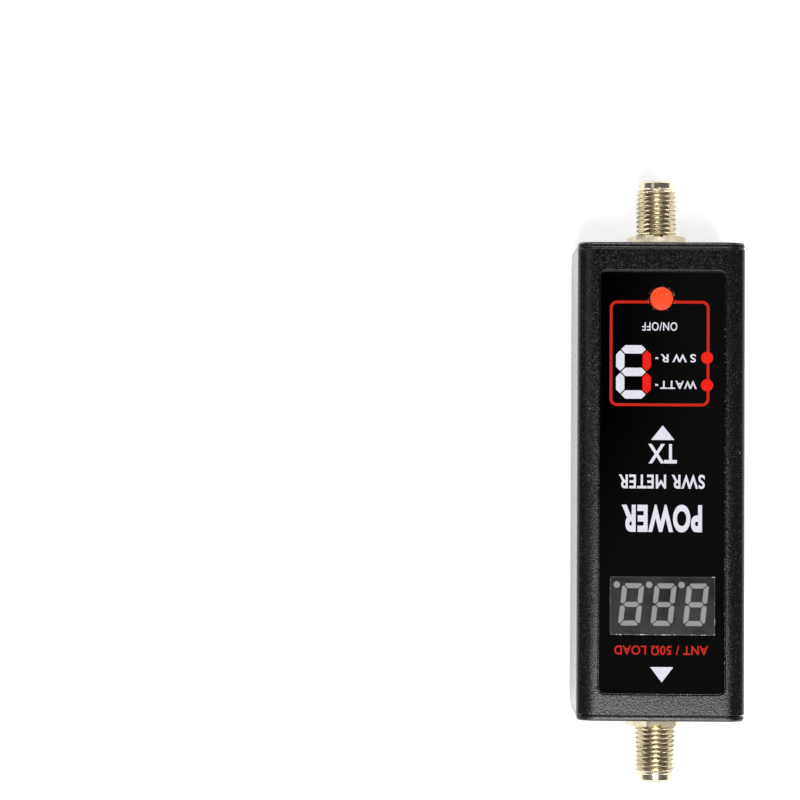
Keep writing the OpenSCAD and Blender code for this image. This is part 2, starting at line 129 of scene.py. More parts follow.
def softened(points, radius, steps=3):
    """The same outline with each corner replaced by a short curve."""
    result = []
    count = len(points)
    for i in range(count):
        corner = Vector(points[i])
        for_back = Vector(points[i - 1]) - corner
        for_next = Vector(points[(i + 1) % count]) - corner
        cut = min(radius, for_back.length / 2.2, for_next.length / 2.2)
        a = corner + for_back.normalized() * cut
        b = corner + for_next.normalized() * cut
        for s in range(steps + 1):
            t = s / steps
            p = a * (1 - t) ** 2 + corner * 2 * t * (1 - t) + b * t ** 2
            result.append((p.x, p.y))
    return result


def rounded_ends(start, end, radius, steps=3, top_radius=None):
    """(inset, height) pairs up a wall with two rounded rims, the upper one by its own radius if given."""
    top = top_radius or radius
    quarter = [math.pi / 2 * s / steps for s in range(steps + 1)]
    low = [(radius * (1 - math.sin(a)), start + radius * (1 - math.cos(a))) for a in quarter]
    high = [(top * (1 - math.sin(a)), end - top * (1 - math.cos(a))) for a in reversed(quarter)]
    return low + high


def flared_top(bottom, top, radius, over, steps=3):
    """(inset, height) pairs up a cutter that leaves a rounded rim round its opening."""
    quarter = [math.pi / 2 * s / steps for s in range(steps + 1)]
    rim = [(-radius * (1 - math.cos(a)), top - radius + radius * math.sin(a)) for a in quarter]
    return [(0.0, bottom)] + rim + [(-radius, top + over)]


# ---------- mesh building, in millimetres ----------


def skin(loops, closed=False):
    """A mesh through loops of equal length. Open ends are capped, and a closed one joins last to first."""
    bm = bmesh.new()
    rings = [[bm.verts.new(p) for p in loop] for loop in loops]
    count = len(rings[0])
    pairs = list(zip(rings, rings[1:]))
    if closed:
        pairs.append((rings[-1], rings[0]))
    for low, high in pairs:
        for i in range(count):
            j = (i + 1) % count
            bm.faces.new((low[i], low[j], high[j], high[i]))
    if not closed:
        bm.faces.new(list(reversed(rings[0])))
        bm.faces.new(rings[-1])
    return bm


def box_prism(width, height, radius, profile, x=0.0, y=0.0, steps=8, rise=None):
    """A prism with round corners that follows an (inset, height) profile."""
    rise = radius if rise is None else rise
    loops = []
    for inset, z in profile:
        corner = (max(radius - inset, 0.01), steps, max(rise - inset, 0.01))
        outline = rounded_rect(width - 2 * inset, height - 2 * inset, *corner)
        loops.append([(x + px, y + py, z) for px, py in outline])
    return skin(loops)


def flat_prism(outline, bottom, top):
    """A plain prism on any outline."""
    return skin([[(x, y, z) for x, y in outline] for z in (bottom, top)])


def turned(rows, columns=72, closed=True):
    """A solid of revolution about Z. A row is (radius, height) or a function of the angle that gives it."""
    bm = bmesh.new()
    rings = []
    for row in rows:
        ring = []
        for i in range(columns + 1):
            angle = 2 * math.pi * i / columns
            radius, height = row(angle) if callable(row) else row
            ring.append(bm.verts.new((radius * math.cos(angle), radius * math.sin(angle), height)))
        rings.append(ring)
    pairs = list(zip(rings, rings[1:]))
    if closed:
        pairs.append((rings[-1], rings[0]))
    for low, high in pairs:
        for i in range(columns):
            bm.faces.new((low[i], low[i + 1], high[i + 1], high[i]))
    bmesh.ops.remove_doubles(bm, verts=bm.verts, dist=1e-5)
    bmesh.ops.dissolve_degenerate(bm, edges=bm.edges, dist=1e-6)
    bmesh.ops.recalc_face_normals(bm, faces=bm.faces)
    return bm


def moved(bm, matrix):
    bmesh.ops.transform(bm, matrix=matrix, verts=bm.verts)
    return bm


def joined(meshes):
    """Several separate solids as one mesh."""
    whole = bmesh.new()
    for bm in meshes:
        part = bpy.data.meshes.new("part")
        bm.to_mesh(part)
        bm.free()
        whole.from_mesh(part)
        bpy.data.meshes.remove(part)
    return whole


def scratch_object(bm):
    mesh = bpy.data.meshes.new("scratch")
    bm.to_mesh(mesh)
    bm.free()
    obj = bpy.data.objects.new("scratch", mesh)
    bpy.context.scene.collection.objects.link(obj)
    return obj


def combined(bm, operation, tools):
    """The mesh after a boolean with each tool in turn."""
    target = scratch_object(bm)
    cutters = [scratch_object(tool) for tool in tools]
    for cutter in cutters:
        step = target.modifiers.new("step", "BOOLEAN")
        step.operation = operation
        step.solver = "EXACT"
        step.object = cutter
    graph = bpy.context.evaluated_depsgraph_get()
    graph.update()
    mesh = bpy.data.meshes.new_from_object(target.evaluated_get(graph))
    result = bmesh.new()
    result.from_mesh(mesh)
    if not result.faces:
        raise RuntimeError("a boolean left nothing of a piece")
    bmesh.ops.remove_doubles(result, verts=result.verts, dist=1e-6)
    bpy.data.meshes.remove(mesh)
    for obj in [target, *cutters]:
        old = obj.data
        bpy.data.objects.remove(obj)
        bpy.data.meshes.remove(old)
    return result


def add_piece(bm, name, materials, body=METER, sharp=32, replaces=()):
    """Turns a mesh in millimetres into a shaded piece that rides on a body."""
    bmesh.ops.scale(bm, vec=(MM, MM, MM), verts=bm.verts)
    mesh = bpy.data.meshes.new(name)
    bm.to_mesh(mesh)
    bm.free()
    obj = bpy.data.objects.new(name, mesh)
    bpy.context.scene.collection.objects.link(obj)
    for material in materials if isinstance(materials, (list, tuple)) else [materials]:
        mesh.materials.append(material)
    mesh.shade_smooth()
    mesh.set_sharp_from_angle(angle=math.radians(sharp))
    normals = obj.modifiers.new("even normals", "WEIGHTED_NORMAL")
    normals.keep_sharp = True
    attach(obj, body)
    if replaces:
        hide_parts(*replaces)
    return obj


# ---------- shared shader groups ----------


def link(tree, source, target):
    tree.links.new(source, target)


def node(tree, kind, **values):
    """A node with its properties and unlinked sockets set by name."""
    made = tree.nodes.new(kind)
    for key, value in values.items():
        if hasattr(made, key):
            setattr(made, key, value)
        else:
            made.inputs[key.replace("_", " ")].default_value = value
    return made


def maths(tree, operation, a, b=None, clamp=False):
    """A Math node's output. Each operand is a socket or a number."""
    made = tree.nodes.new("ShaderNodeMath")
    made.operation = operation
    made.use_clamp = clamp
    for socket, operand in zip(made.inputs, (a, b)):
        if operand is None:
            continue
        if isinstance(operand, (int, float)):
            socket.default_value = operand
        else:
            link(tree, operand, socket)
    return made.outputs[0]


def spread(tree, value, low, high, to_low=0.0, to_high=1.0):
    """A value remapped from one range to another and held inside it."""
    made = tree.nodes.new("ShaderNodeMapRange")
    made.clamp = True
    link(tree, value, made.inputs["Value"])
    for name, number in zip(("From Min", "From Max", "To Min", "To Max"), (low, high, to_low, to_high)):
        made.inputs[name].default_value = number
    return made.outputs["Result"]


def new_group(name, inputs, outputs):
    """An empty shader group with named sockets, and its input and output nodes."""
    tree = bpy.data.node_groups.new(name, "ShaderNodeTree")
    for label, kind, default in inputs:
        socket = tree.interface.new_socket(name=label, in_out="INPUT", socket_type=kind)
        if default is not None:
            socket.default_value = default
    for label, kind in outputs:
        tree.interface.new_socket(name=label, in_out="OUTPUT", socket_type=kind)
    return tree, tree.nodes.new("NodeGroupInput"), tree.nodes.new("NodeGroupOutput")


def scaled_point(tree, source):
    """The group's Vector times its Scale."""
    made = tree.nodes.new("ShaderNodeVectorMath")
    made.operation = "SCALE"
    link(tree, source.outputs["Vector"], made.inputs[0])
    link(tree, source.outputs["Scale"], made.inputs["Scale"])
    return made.outputs[0]


def powder_grain_group():
    """Height of a cured powder coat, and a mask of grains whose brighter colour is a painted glint. Scale is
    grains per metre.
    """
    tree, source, target = new_group(
        "Powder grain",
        [("Vector", "NodeSocketVector", None), ("Scale", "NodeSocketFloat", 5000.0)],
        [("Height", "NodeSocketFloat"), ("Glint grains", "NodeSocketFloat")],
    )
    point = scaled_point(tree, source)
    lumps = node(tree, "ShaderNodeTexNoise", Scale=0.9, Detail=2.0, Roughness=0.6)
    cells = node(tree, "ShaderNodeTexVoronoi", feature="SMOOTH_F1", Scale=1.0, Smoothness=0.35)
    specks = node(tree, "ShaderNodeTexVoronoi", feature="F1", Scale=0.8)
    for texture in (lumps, cells, specks):
        link(tree, point, texture.inputs["Vector"])
    bump = maths(tree, "SUBTRACT", 1.0, cells.outputs["Distance"])
    height = maths(tree, "ADD", maths(tree, "MULTIPLY", bump, 0.5), lumps.outputs["Fac"])
    split = tree.nodes.new("ShaderNodeSeparateColor")
    link(tree, specks.outputs["Color"], split.inputs[0])
    chosen = spread(tree, split.outputs[0], 0.6, 0.95)
    near = spread(tree, specks.outputs["Distance"], 0.5, 0.2)
    link(tree, height, target.inputs["Height"])
    link(tree, maths(tree, "MULTIPLY", chosen, near), target.inputs["Glint grains"])
    return tree


def dust_group():
    """A sparse mask of dust specks. Amount from 0 to 1 says how many of the specks show."""
    tree, source, target = new_group(
        "Dust specks",
        [
            ("Vector", "NodeSocketVector", None),
            ("Scale", "NodeSocketFloat", 900.0),
            ("Amount", "NodeSocketFloat", 0.1),
        ],
        [("Mask", "NodeSocketFloat")],
    )
    point = scaled_point(tree, source)
    cells = node(tree, "ShaderNodeTexVoronoi", feature="F1", Scale=1.0)
    link(tree, point, cells.inputs["Vector"])
    split = tree.nodes.new("ShaderNodeSeparateColor")
    link(tree, cells.outputs["Color"], split.inputs[0])
    shown = maths(tree, "LESS_THAN", split.outputs[0], source.outputs["Amount"])
    dot = spread(tree, cells.outputs["Distance"], 0.16, 0.06)
    link(tree, maths(tree, "MULTIPLY", dot, shown), target.inputs["Mask"])
    return tree


def scratches_group():
    """Fine hairlines and slow clouding. Scale is lines per metre across the Stretch direction."""
    tree, source, target = new_group(
        "Hairlines",
        [
            ("Vector", "NodeSocketVector", None),
            ("Scale", "NodeSocketFloat", 2000.0),
            ("Stretch", "NodeSocketVector", (1.0, 0.05, 1.0)),
        ],
        [("Height", "NodeSocketFloat"), ("Cloud", "NodeSocketFloat")],
    )
    point = scaled_point(tree, source)
    drawn = tree.nodes.new("ShaderNodeVectorMath")
    drawn.operation = "MULTIPLY"
    link(tree, point, drawn.inputs[0])
    link(tree, source.outputs["Stretch"], drawn.inputs[1])
    lines = node(tree, "ShaderNodeTexNoise", Scale=1.0, Detail=4.0, Roughness=0.65)
    link(tree, drawn.outputs[0], lines.inputs["Vector"])
    cloud = node(tree, "ShaderNodeTexNoise", Scale=0.12, Detail=3.0, Roughness=0.55)
    link(tree, point, cloud.inputs["Vector"])
    link(tree, lines.outputs["Fac"], target.inputs["Height"])
    link(tree, cloud.outputs["Fac"], target.inputs["Cloud"])
    return tree


GROUP_MAKERS = {
    "Powder grain": powder_grain_group,
    "Dust specks": dust_group,
    "Hairlines": scratches_group,
}


def use_group(tree, name, coordinates, **values):
    """Places a shared group, made once, with this material's own values."""
    made = tree.nodes.new("ShaderNodeGroup")
    made.node_tree = bpy.data.node_groups.get(name) or GROUP_MAKERS[name]()
    link(tree, coordinates, made.inputs["Vector"])
    for key, value in values.items():
        made.inputs[key].default_value = value
    return made


# ---------- materials ----------


def start_material(name, color, roughness, metallic=0.0, **sockets):
    """A material with a Principled shader whose plain values are set on its own sockets."""
    material = bpy.data.materials.new(name)
    material.use_nodes = True
    tree = material.node_tree
    shader = tree.nodes["Principled BSDF"]
    shader.inputs["Base Color"].default_value = (*color, 1.0)
    shader.inputs["Roughness"].default_value = roughness
    shader.inputs["Metallic"].default_value = metallic
    for key, value in sockets.items():
        shader.inputs[key.replace("_", " ")].default_value = value
    coordinates = tree.nodes.new("ShaderNodeTexCoord").outputs["Object"]
    return material, tree, shader, coordinates


def mix_color(tree, factor, a, b):
    made = tree.nodes.new("ShaderNodeMix")
    made.data_type = "RGBA"
    link(tree, factor, made.inputs["Factor"])
    for name, value in (("A", a), ("B", b)):
        socket = [s for s in made.inputs if s.name == name and s.type == "RGBA"][0]
        if isinstance(value, bpy.types.NodeSocket):
            link(tree, value, socket)
        else:
            socket.default_value = (*value, 1.0)
    return [s for s in made.outputs if s.type == "RGBA"][0]


def add_bump(tree, shader, height, distance, strength=1.0):
    bump = tree.nodes.new("ShaderNodeBump")
    bump.inputs["Strength"].default_value = strength
    bump.inputs["Distance"].default_value = distance
    link(tree, height, bump.inputs["Height"])
    link(tree, bump.outputs["Normal"], shader.inputs["Normal"])


def powder_coat(name, settings):
    """Black powder coat with a fine hard grain that glints. Its bump is real, and its brighter grains are
    painted glints.
    """
    material, tree, shader, point = start_material(name, settings.coat_color, 0.4)
    grain = use_group(tree, "Powder grain", point, Scale=1 / settings.grain_size)
    dust = use_group(tree, "Dust specks", point, Scale=1100.0, Amount=0.03)
    # painted glints: the grains get a brighter base colour where light would catch the coat's grain
    bright = tuple(c * 5 + 0.03 for c in settings.coat_color)
    color = mix_color(tree, grain.outputs["Glint grains"], tuple(settings.coat_color), bright)
    color = mix_color(tree, maths(tree, "MULTIPLY", dust.outputs["Mask"], 0.35), color, (0.5, 0.5, 0.48))
    link(tree, color, shader.inputs["Base Color"])
    link(tree, spread(tree, grain.outputs["Height"], 0.55, 0.95, 0.3, 0.07), shader.inputs["Roughness"])
    add_bump(tree, shader, grain.outputs["Height"], settings.grain_depth)
    return material


def printed_film(name, color, dust=0.003):
    """Glossy printed film, not quite flat, with a little dust."""
    material, tree, shader, point = start_material(name, color, 0.1)
    dust_mask = use_group(tree, "Dust specks", point, Scale=700.0, Amount=dust).outputs["Mask"]
    dust_mask = maths(tree, "MULTIPLY", dust_mask, 0.4)
    link(tree, mix_color(tree, dust_mask, color, (0.45, 0.43, 0.4)), shader.inputs["Base Color"])
    lines = use_group(tree, "Hairlines", point, Scale=900.0)
    link(tree, spread(tree, lines.outputs["Cloud"], 0.3, 0.7, 0.015, 0.03), shader.inputs["Roughness"])
    add_bump(tree, shader, lines.outputs["Cloud"], 0.00001)
    return material


def ink(name, color):
    """Screen-printed ink with a slightly uneven tone."""
    material, tree, shader, point = start_material(name, color, 0.45, Specular_IOR_Level=0.08)
    lines = use_group(tree, "Hairlines", point, Scale=2600.0, Stretch=(1.0, 1.0, 1.0))
    tone = spread(tree, lines.outputs["Height"], 0.3, 0.7)
    darker = tuple(c * 0.86 for c in color)
    link(tree, mix_color(tree, tone, darker, color), shader.inputs["Base Color"])
    add_bump(tree, shader, lines.outputs["Height"], 0.000004)
    return material


def moulded_plastic(name, color, roughness, dust=0.0, grain=0.000006, **sockets):
    """Moulded plastic with a faint texture, clouded gloss and optional dust."""
    material, tree, shader, point = start_material(name, color, roughness, **sockets)
    lines = use_group(tree, "Hairlines", point, Scale=1800.0, Stretch=(1.0, 1.0, 1.0))
    darker = tuple(c * 0.88 for c in color)
    tone = mix_color(tree, spread(tree, lines.outputs["Cloud"], 0.35, 0.65), darker, color)
    if dust:
        mask = use_group(tree, "Dust specks", point, Scale=1500.0, Amount=dust).outputs["Mask"]
        tone = mix_color(tree, maths(tree, "MULTIPLY", mask, 0.6), tone, (0.8, 0.78, 0.74))
    link(tree, tone, shader.inputs["Base Color"])
    low, high = max(roughness - 0.06, 0.02), min(roughness + 0.08, 1.0)
    link(tree, spread(tree, lines.outputs["Cloud"], 0.3, 0.7, low, high), shader.inputs["Roughness"])
    add_bump(tree, shader, lines.outputs["Height"], grain)
    return material


def plated_metal(name, color, roughness, stretch=(1.0, 1.0, 0.08), depth=0.000004):
    """Plated or bare metal with machining hairlines and clouded gloss."""
    material, tree, shader, point = start_material(name, color, roughness, metallic=1.0)
    lines = use_group(tree, "Hairlines", point, Scale=3200.0, Stretch=stretch)
    darker = tuple(c * 0.82 for c in color)
    tone = mix_color(tree, spread(tree, lines.outputs["Cloud"], 0.3, 0.7), darker, color)
    link(tree, tone, shader.inputs["Base Color"])
    low, high = max(roughness - 0.05, 0.03), roughness + 0.09
    link(tree, spread(tree, lines.outputs["Cloud"], 0.35, 0.65, high, low), shader.inputs["Roughness"])
    add_bump(tree, shader, lines.outputs["Height"], depth)
    return material


def board_laminate(name):
    """Green solder mask with copper tracks showing faintly through it."""
    material, tree, shader, point = start_material(name, (0.02, 0.16, 0.06), 0.35)
    tracks = node(tree, "ShaderNodeTexBrick", Scale=260.0, Mortar_Size=0.04)
    tracks.offset = 0.35
    link(tree, point, tracks.inputs["Vector"])
    mask = tracks.outputs["Fac"]
    link(tree, mix_color(tree, mask, (0.015, 0.13, 0.05), (0.05, 0.28, 0.1)), shader.inputs["Base Color"])
    add_bump(tree, shader, mask, 0.00003)
    return material


# ---------- settings ----------


class CaseSettings(bpy.types.PropertyGroup):
    """Sizes and finish of the case."""

    corner_width: FloatProperty(
        name="Corner width", description="How far the long corners run across the front", default=3.0 * MM,
        unit="LENGTH"
    )
    corner_rise: FloatProperty(
        name="Corner rise", description="How far the long corners run down the sides", default=1.6 * MM,
        unit="LENGTH"
    )
    wall: FloatProperty(
        name="Wall", description="Wall thickness of the tube", default=1.5 * MM, unit="LENGTH"
    )
    edge_radius: FloatProperty(
        name="Edge radius", description="Rounding that the coat gives to edges", default=0.14 * MM,
        unit="LENGTH"
    )
    coat_color: FloatVectorProperty(
        name="Coat colour", description="Colour of the powder coat", default=(0.002, 0.002, 0.0022),
        subtype="COLOR"
    )
    grain_size: FloatProperty(
        name="Grain size", description="Distance between grains of the coat", default=0.2 * MM, unit="LENGTH"
    )
    grain_depth: FloatProperty(
        name="Grain depth", description="Height of the coat's grains", default=0.03 * MM, unit="LENGTH"
    )


class PrintSettings(bpy.types.PropertyGroup):
    """Colours and thickness of the label's printing."""

    film_color: FloatVectorProperty(
        name="Film", description="Colour of the label film", default=(0.0006, 0.0006, 0.0006),
        subtype="COLOR"
    )
    white: FloatVectorProperty(
        name="White", description="White ink", default=(0.6, 0.6, 0.67), subtype="COLOR"
    )
    red: FloatVectorProperty(
        name="Red", description="Red ink of the outline and the antenna legend", default=(0.46, 0.013, 0.006),
        subtype="COLOR"
    )
    bright_red: FloatVectorProperty(
        name="Bright red", description="Red ink of the dots and the mode digit", default=(0.68, 0.01, 0.003),
        subtype="COLOR"
    )
    thickness: FloatProperty(
        name="Ink thickness", description="How far the ink stands over the film", default=0.015 * MM,
        unit="LENGTH"
    )


class DisplaySettings(bpy.types.PropertyGroup):
    """Sizes and colours of the display."""

    digit_height: FloatProperty(
        name="Digit height", description="Height of one digit", default=6.4 * MM, unit="LENGTH"
    )
    digit_width: FloatProperty(
        name="Digit width", description="Width of one digit before it is slanted", default=3.3 * MM,
        unit="LENGTH"
    )
    digit_pitch: FloatProperty(
        name="Digit pitch", description="Distance from digit to digit", default=4.88 * MM, unit="LENGTH"
    )
    stroke: FloatProperty(
        name="Stroke", description="Width of a segment", default=0.76 * MM, unit="LENGTH"
    )
    slant: FloatProperty(
        name="Slant", description="Lean of the digits", default=math.radians(6.2), subtype="ANGLE"
    )
    face_color: FloatVectorProperty(
        name="Face", description="Colour of the display's face", default=(0.009, 0.009, 0.0095),
        subtype="COLOR"
    )
    segment_color: FloatVectorProperty(
        name="Segments", description="Colour of the unlit segments", default=(0.23, 0.23, 0.23),
        subtype="COLOR"
    )


class JackSettings(bpy.types.PropertyGroup):
    """Sizes and finish of the coaxial jacks."""

    pitch: FloatProperty(
        name="Thread pitch", description="Pitch of the coupling thread", default=25.4 / 36 * MM, unit="LENGTH"
    )
    plate_color: FloatVectorProperty(
        name="Plating", description="Colour of the nickel plate", default=(0.74, 0.67, 0.49), subtype="COLOR"
    )
    columns: IntProperty(
        name="Columns", description="Faces round a turned piece, a multiple of 12", default=96, min=24,
        max=240
    )


class ButtonSettings(bpy.types.PropertyGroup):
    """Finish of the push button."""

    color: FloatVectorProperty(
        name="Colour", description="Colour of the button", default=(0.78, 0.055, 0.008), subtype="COLOR"
    )


class StageSettings(bpy.types.PropertyGroup):
    """Camera, floor and lights."""

    camera_place: FloatVectorProperty(
        name="Camera place", description="Where the camera stands", default=(-0.03144, 0.00427, 0.36181),
        subtype="TRANSLATION"
    )
    camera_turn: FloatVectorProperty(
        name="Camera turn", description="The camera's rotation",
        default=(math.radians(1.3175), math.radians(1.3628), math.radians(0.3313)), subtype="EULER"
    )
    lens: FloatProperty(
        name="Lens", description="Focal length in millimetres", default=101.25, min=20, max=300
    )
    floor_color: FloatVectorProperty(
        name="Floor", description="Colour of the floor", default=(0.93, 0.93, 0.93), subtype="COLOR"
    )
    floor_glow: FloatProperty(
        name="Floor glow", description="Light that the floor gives off from below", default=0.38, min=0, max=5
    )
    card_glow: FloatProperty(
        name="Card glow", description="Light of the card overhead", default=0.08, min=0, max=2
    )
    world_light: FloatProperty(
        name="Room light", description="Brightness of the surroundings", default=0.13, min=0, max=2
    )


# ---------- the case ----------


class BuildCase(bpy.types.Operator):
    """Builds the tube, its two end plates and their screws"""

    bl_idname = "swr_meter.build_case"
    bl_label = "Build the case"

    def execute(self, context):
        settings = context.scene.meter_case
        coat = powder_coat("black_powder_coat", settings)
        build_tube(settings, coat)
        screw_steel = plated_metal("black_oxide", (0.05, 0.05, 0.052), 0.35)
        for end, side in ENDS.items():
            build_end_plate(settings, coat, end, side)
            build_end_screws(screw_steel, end, side)
        return {"FINISHED"}


def build_tube(settings, coat):
    low, high = box_mm("case_shell")
    width, height = high.x - low.x, high.z - low.z
    wall = settings.wall / MM
    edge = settings.edge_radius / MM
    inner_radius = 0.5
    loops = []
    for inset, along in rounded_ends(low.y, high.y, edge):
        corner = (settings.corner_width / MM - inset, 12, settings.corner_rise / MM - inset)
        outline = rounded_rect(width - 2 * inset, height - 2 * inset, *corner)
        loops.append([(x, y, along) for x, y in outline])
    inner = rounded_rect(width - 2 * wall, height - 2 * wall, inner_radius, 12)
    loops += [[(x, y, along) for x, y in inner] for along in (high.y, low.y)]
    tube = moved(skin(loops, closed=True), Matrix.Translation((0, 0, height / 2)) @ OUT_OF_END)
    bmesh.ops.recalc_face_normals(tube, faces=tube.faces)
    tools = [label_pocket(high.z, edge), label_gutter()]
    tools += [display_window(high.z, wall), button_hole(high.z, wall)]
    tools += side_openings(high.x, wall, edge)
    add_piece(
        combined(tube, "DIFFERENCE", tools), "case_tube", coat, sharp=50,
        replaces=["case_shell"],
    )


def label_pocket(top, edge):
    """The shallow pocket that the label lies in."""
    label, size = middle("front_label"), extent("front_label")
    floor = box_mm("front_label")[0].z
    profile = flared_top(floor, top, edge * 0.8, OVER)
    width, length = size.x + 2 * POCKET_GAP, size.y + 2 * POCKET_GAP
    return box_prism(width, length, POCKET_CORNER, profile, label.x, label.y)


def label_gutter():
    """A narrow groove in the pocket's floor, round the rim of the film."""
    under, depth, core_corner, overlap = 0.1, 0.4, 0.9, 0.02
    label, size = middle("front_label"), extent("front_label")
    floor = box_mm("front_label")[0].z
    outer = box_prism(
        size.x + 2 * POCKET_GAP, size.y + 2 * POCKET_GAP, POCKET_CORNER,
        [(0, floor - depth), (0, floor + overlap)], label.x, label.y,
    )
    core = box_prism(
        size.x - 2 * under, size.y - 2 * under, core_corner,
        [(0, floor - OVER), (0, floor + OVER)], label.x, label.y,
    )
    return combined(outer, "DIFFERENCE", [core])


def display_window(top, wall):
    gap, corner = 0.2, 0.15
    place, size = middle("display_body"), extent("display_body")
    profile = [(0.0, top - wall - OVER), (0.0, top + OVER)]
    return box_prism(size.x + 2 * gap, size.y + 2 * gap, corner, profile, place.x, place.y, 3)


def button_hole(top, wall):
    gap = 0.3
    place = middle("button_plunger")
    outline = circle(BUTTON_RADIUS + gap, 64, place.x, place.y)
    return flat_prism(outline, top - wall - OVER, top + OVER)


def side_openings(face, wall, edge):
    """The charging opening and the small hole for the charge light, in the +X side."""
    opening_w, opening_h, corner, reach_in, light_rise = 8.3, 3.3, 0.8, 1.5, 0.4
    socket, light = middle("usb_shell"), middle("charge_light")
    light_z = box_mm("charge_light")[0].z + light_rise
    profile = flared_top(face - wall - reach_in, face, edge, OVER)
    slot = box_prism(opening_w, opening_h, corner, profile, socket.y, socket.z)
    loops = []
    for inset, z in profile:
        loops.append([(x, y, z) for x, y in circle(LIGHT_HOLE_RADIUS - inset, 32, light.y, light_z)])
    return [moved(slot, OUT_OF_SIDE), moved(skin(loops), OUT_OF_SIDE)]


def build_end_plate(settings, coat, end, side):
    """An end plate with a rounded outer rim and a narrow seam to the tube."""
    low, high = box_mm(end + "_end_plate")
    width, height = high.x - low.x, high.z - low.z
    back, face = span_along(end + "_end_plate")
    seam = {"tx": 0.1, "antenna": 0.22}[end]
    seam_depth, outer_rim, jack_hole = 0.5, 0.5, 3.25
    profile = [(seam_depth, back), (seam_depth, back + seam)]
    profile += rounded_ends(back + seam, face, settings.edge_radius / MM, 5, outer_rim)
    plate = box_prism(
        width, height, settings.corner_width / MM, profile, steps=12, rise=settings.corner_rise / MM
    )
    tools = [flat_prism(circle(jack_hole, 64), back - OVER, face + OVER)]
    for x, z in screw_places():
        tools.append(moved(countersink(back, face), Matrix.Translation((x, z, 0))))
    plate = combined(plate, "DIFFERENCE", tools)
    moved(plate, end_matrix(side, middle(end + "_end_plate").z))
    add_piece(plate, end + "_cover_plate", coat, replaces=[end + "_end_plate"])


def screw_places():
    """The four screws' places across an end, as (X, Z from the case's middle)."""
    low, high = box_mm("tx_end_screws")
    x = high.x - SCREW_HEAD_RADIUS
    z = (high.z - low.z) / 2 - SCREW_HEAD_RADIUS
    return [(sx * x, sz * z) for sx in (-1, 1) for sz in (-1, 1)]


def countersink(back, face):
    """Cutter for a countersunk hole, about its own axis."""
    shank, head = 1.1, 1.78
    rows = [(0, back - OVER), (shank, back - OVER), (shank, face + shank - head)]
    rows += [(head, face), (head, face + OVER), (0, face + OVER)]
    return turned(rows, 32, closed=False)


def end_matrix(side, height):
    """Places a piece made about local Z, with its heights as distances from the case's middle, at one end."""
    flip = Matrix.Rotation(math.pi, 4, "Z") if side < 0 else Matrix.Identity(4)
    return flip @ Matrix.Translation((0, 0, height)) @ OUT_OF_END


def build_end_screws(material, end, side):
    """Countersunk cross-head screws, flush with the end plate."""
    tip, face = span_along(end + "_end_screws")
    head, shank, dip, point, rim = SCREW_HEAD_RADIUS, 0.975, 0.08, 0.3, 0.06
    rows = [
        (0, tip), (shank - point, tip), (shank, tip + point), (shank, face + shank - head),
        (head, face - rim), (head - rim, face), (head * 0.5, face - dip), (0, face - dip),
    ]
    screws = []
    for i, (x, z) in enumerate(screw_places()):
        arms = [cross_recess_arm(face, turn) for turn in (0, 90)]
        screw = combined(turned(rows, 48, closed=False), "DIFFERENCE", arms)
        turn = Matrix.Rotation(math.radians(17 + 31 * i), 4, "Z")
        screws.append(moved(screw, Matrix.Translation((x, z, 0)) @ turn))
    whole = moved(joined(screws), end_matrix(side, middle(end + "_end_screws").z))
    add_piece(whole, end + "_cover_screws", material, replaces=[end + "_end_screws"])


def cross_recess_arm(face, turn):
    """One arm of a cross recess, narrower at its floor."""
    half_l, half_w, depth = 1.0, 0.2, 0.55
    loops = []
    for share, z in ((0.45, face - depth), (1.0, face), (1.0, face + 0.5)):
        outline = rounded_rect(2 * half_l * share, 2 * half_w * (0.6 + 0.4 * share), 0.05, 2)
        loops.append([(x, y, z) for x, y in outline])
    return moved(skin(loops), Matrix.Rotation(math.radians(turn), 4, "Z"))


# ---------- the label and its printing ----------


class BuildLabel(bpy.types.Operator):
    """Builds the glossy label film and everything that is printed on it"""

    bl_idname = "swr_meter.build_label"
    bl_label = "Build the label"

    def execute(self, context):
        settings = context.scene.meter_print
        film = printed_film("black_label_film", tuple(settings.film_color))
        build_film(film)
        white = ink("white_ink", tuple(settings.white))
        red = ink("red_ink", tuple(settings.red))
        bright = ink("bright_red_ink", tuple(settings.bright_red))
        print_mode_frame(red, bright)
        print_mode_digit(white, bright)
        print_arrows(white)
        print_words(white, red)
        # pale specks along the film's cut edges are painted glints
        build_film_edge_glints(moulded_plastic("film_glint_specks", (0.6, 0.6, 0.55), 0.5))
        return {"FINISHED"}


def build_film(material):
    low, high = box_mm("front_label")
    place, size = (low + high) / 2, high - low
    corner, rim, gap, window_corner = 1.0, 0.06, 0.1, 0.2
    film = box_prism(size.x, size.y, corner, rounded_ends(low.z, high.z, rim), place.x, place.y)
    display, display_size = middle("display_body"), extent("display_body")
    window = box_prism(
        display_size.x + 2 * gap, display_size.y + 2 * gap, window_corner,
        [(0.0, low.z - OVER), (0.0, high.z + OVER)], display.x, display.y, 3,
    )
    film = combined(film, "DIFFERENCE", [window, label_hole(low.z, high.z)])
    add_piece(film, "label_film", material, replaces=["front_label"])


def label_hole(bottom, top):
    """Cutter for the hole round the button, in the film and in its printing."""
    button = middle("button_plunger")
    return flat_prism(circle(LABEL_HOLE_RADIUS, 64, button.x, button.y), bottom - OVER, top + OVER)


def ink_heights():
    """The bottom and the top of the ink, which reaches a little into the film."""
    film_top = box_mm("front_label")[1].z
    return film_top - INK_UNDERLAP, film_top + bpy.context.scene.meter_print.thickness / MM


def printed(outlines, name, material):
    """Prints closed outlines on the label as one piece of ink."""
    prisms = [flat_prism(outline, *ink_heights()) for outline in outlines]
    return add_piece(joined(prisms), name, material)


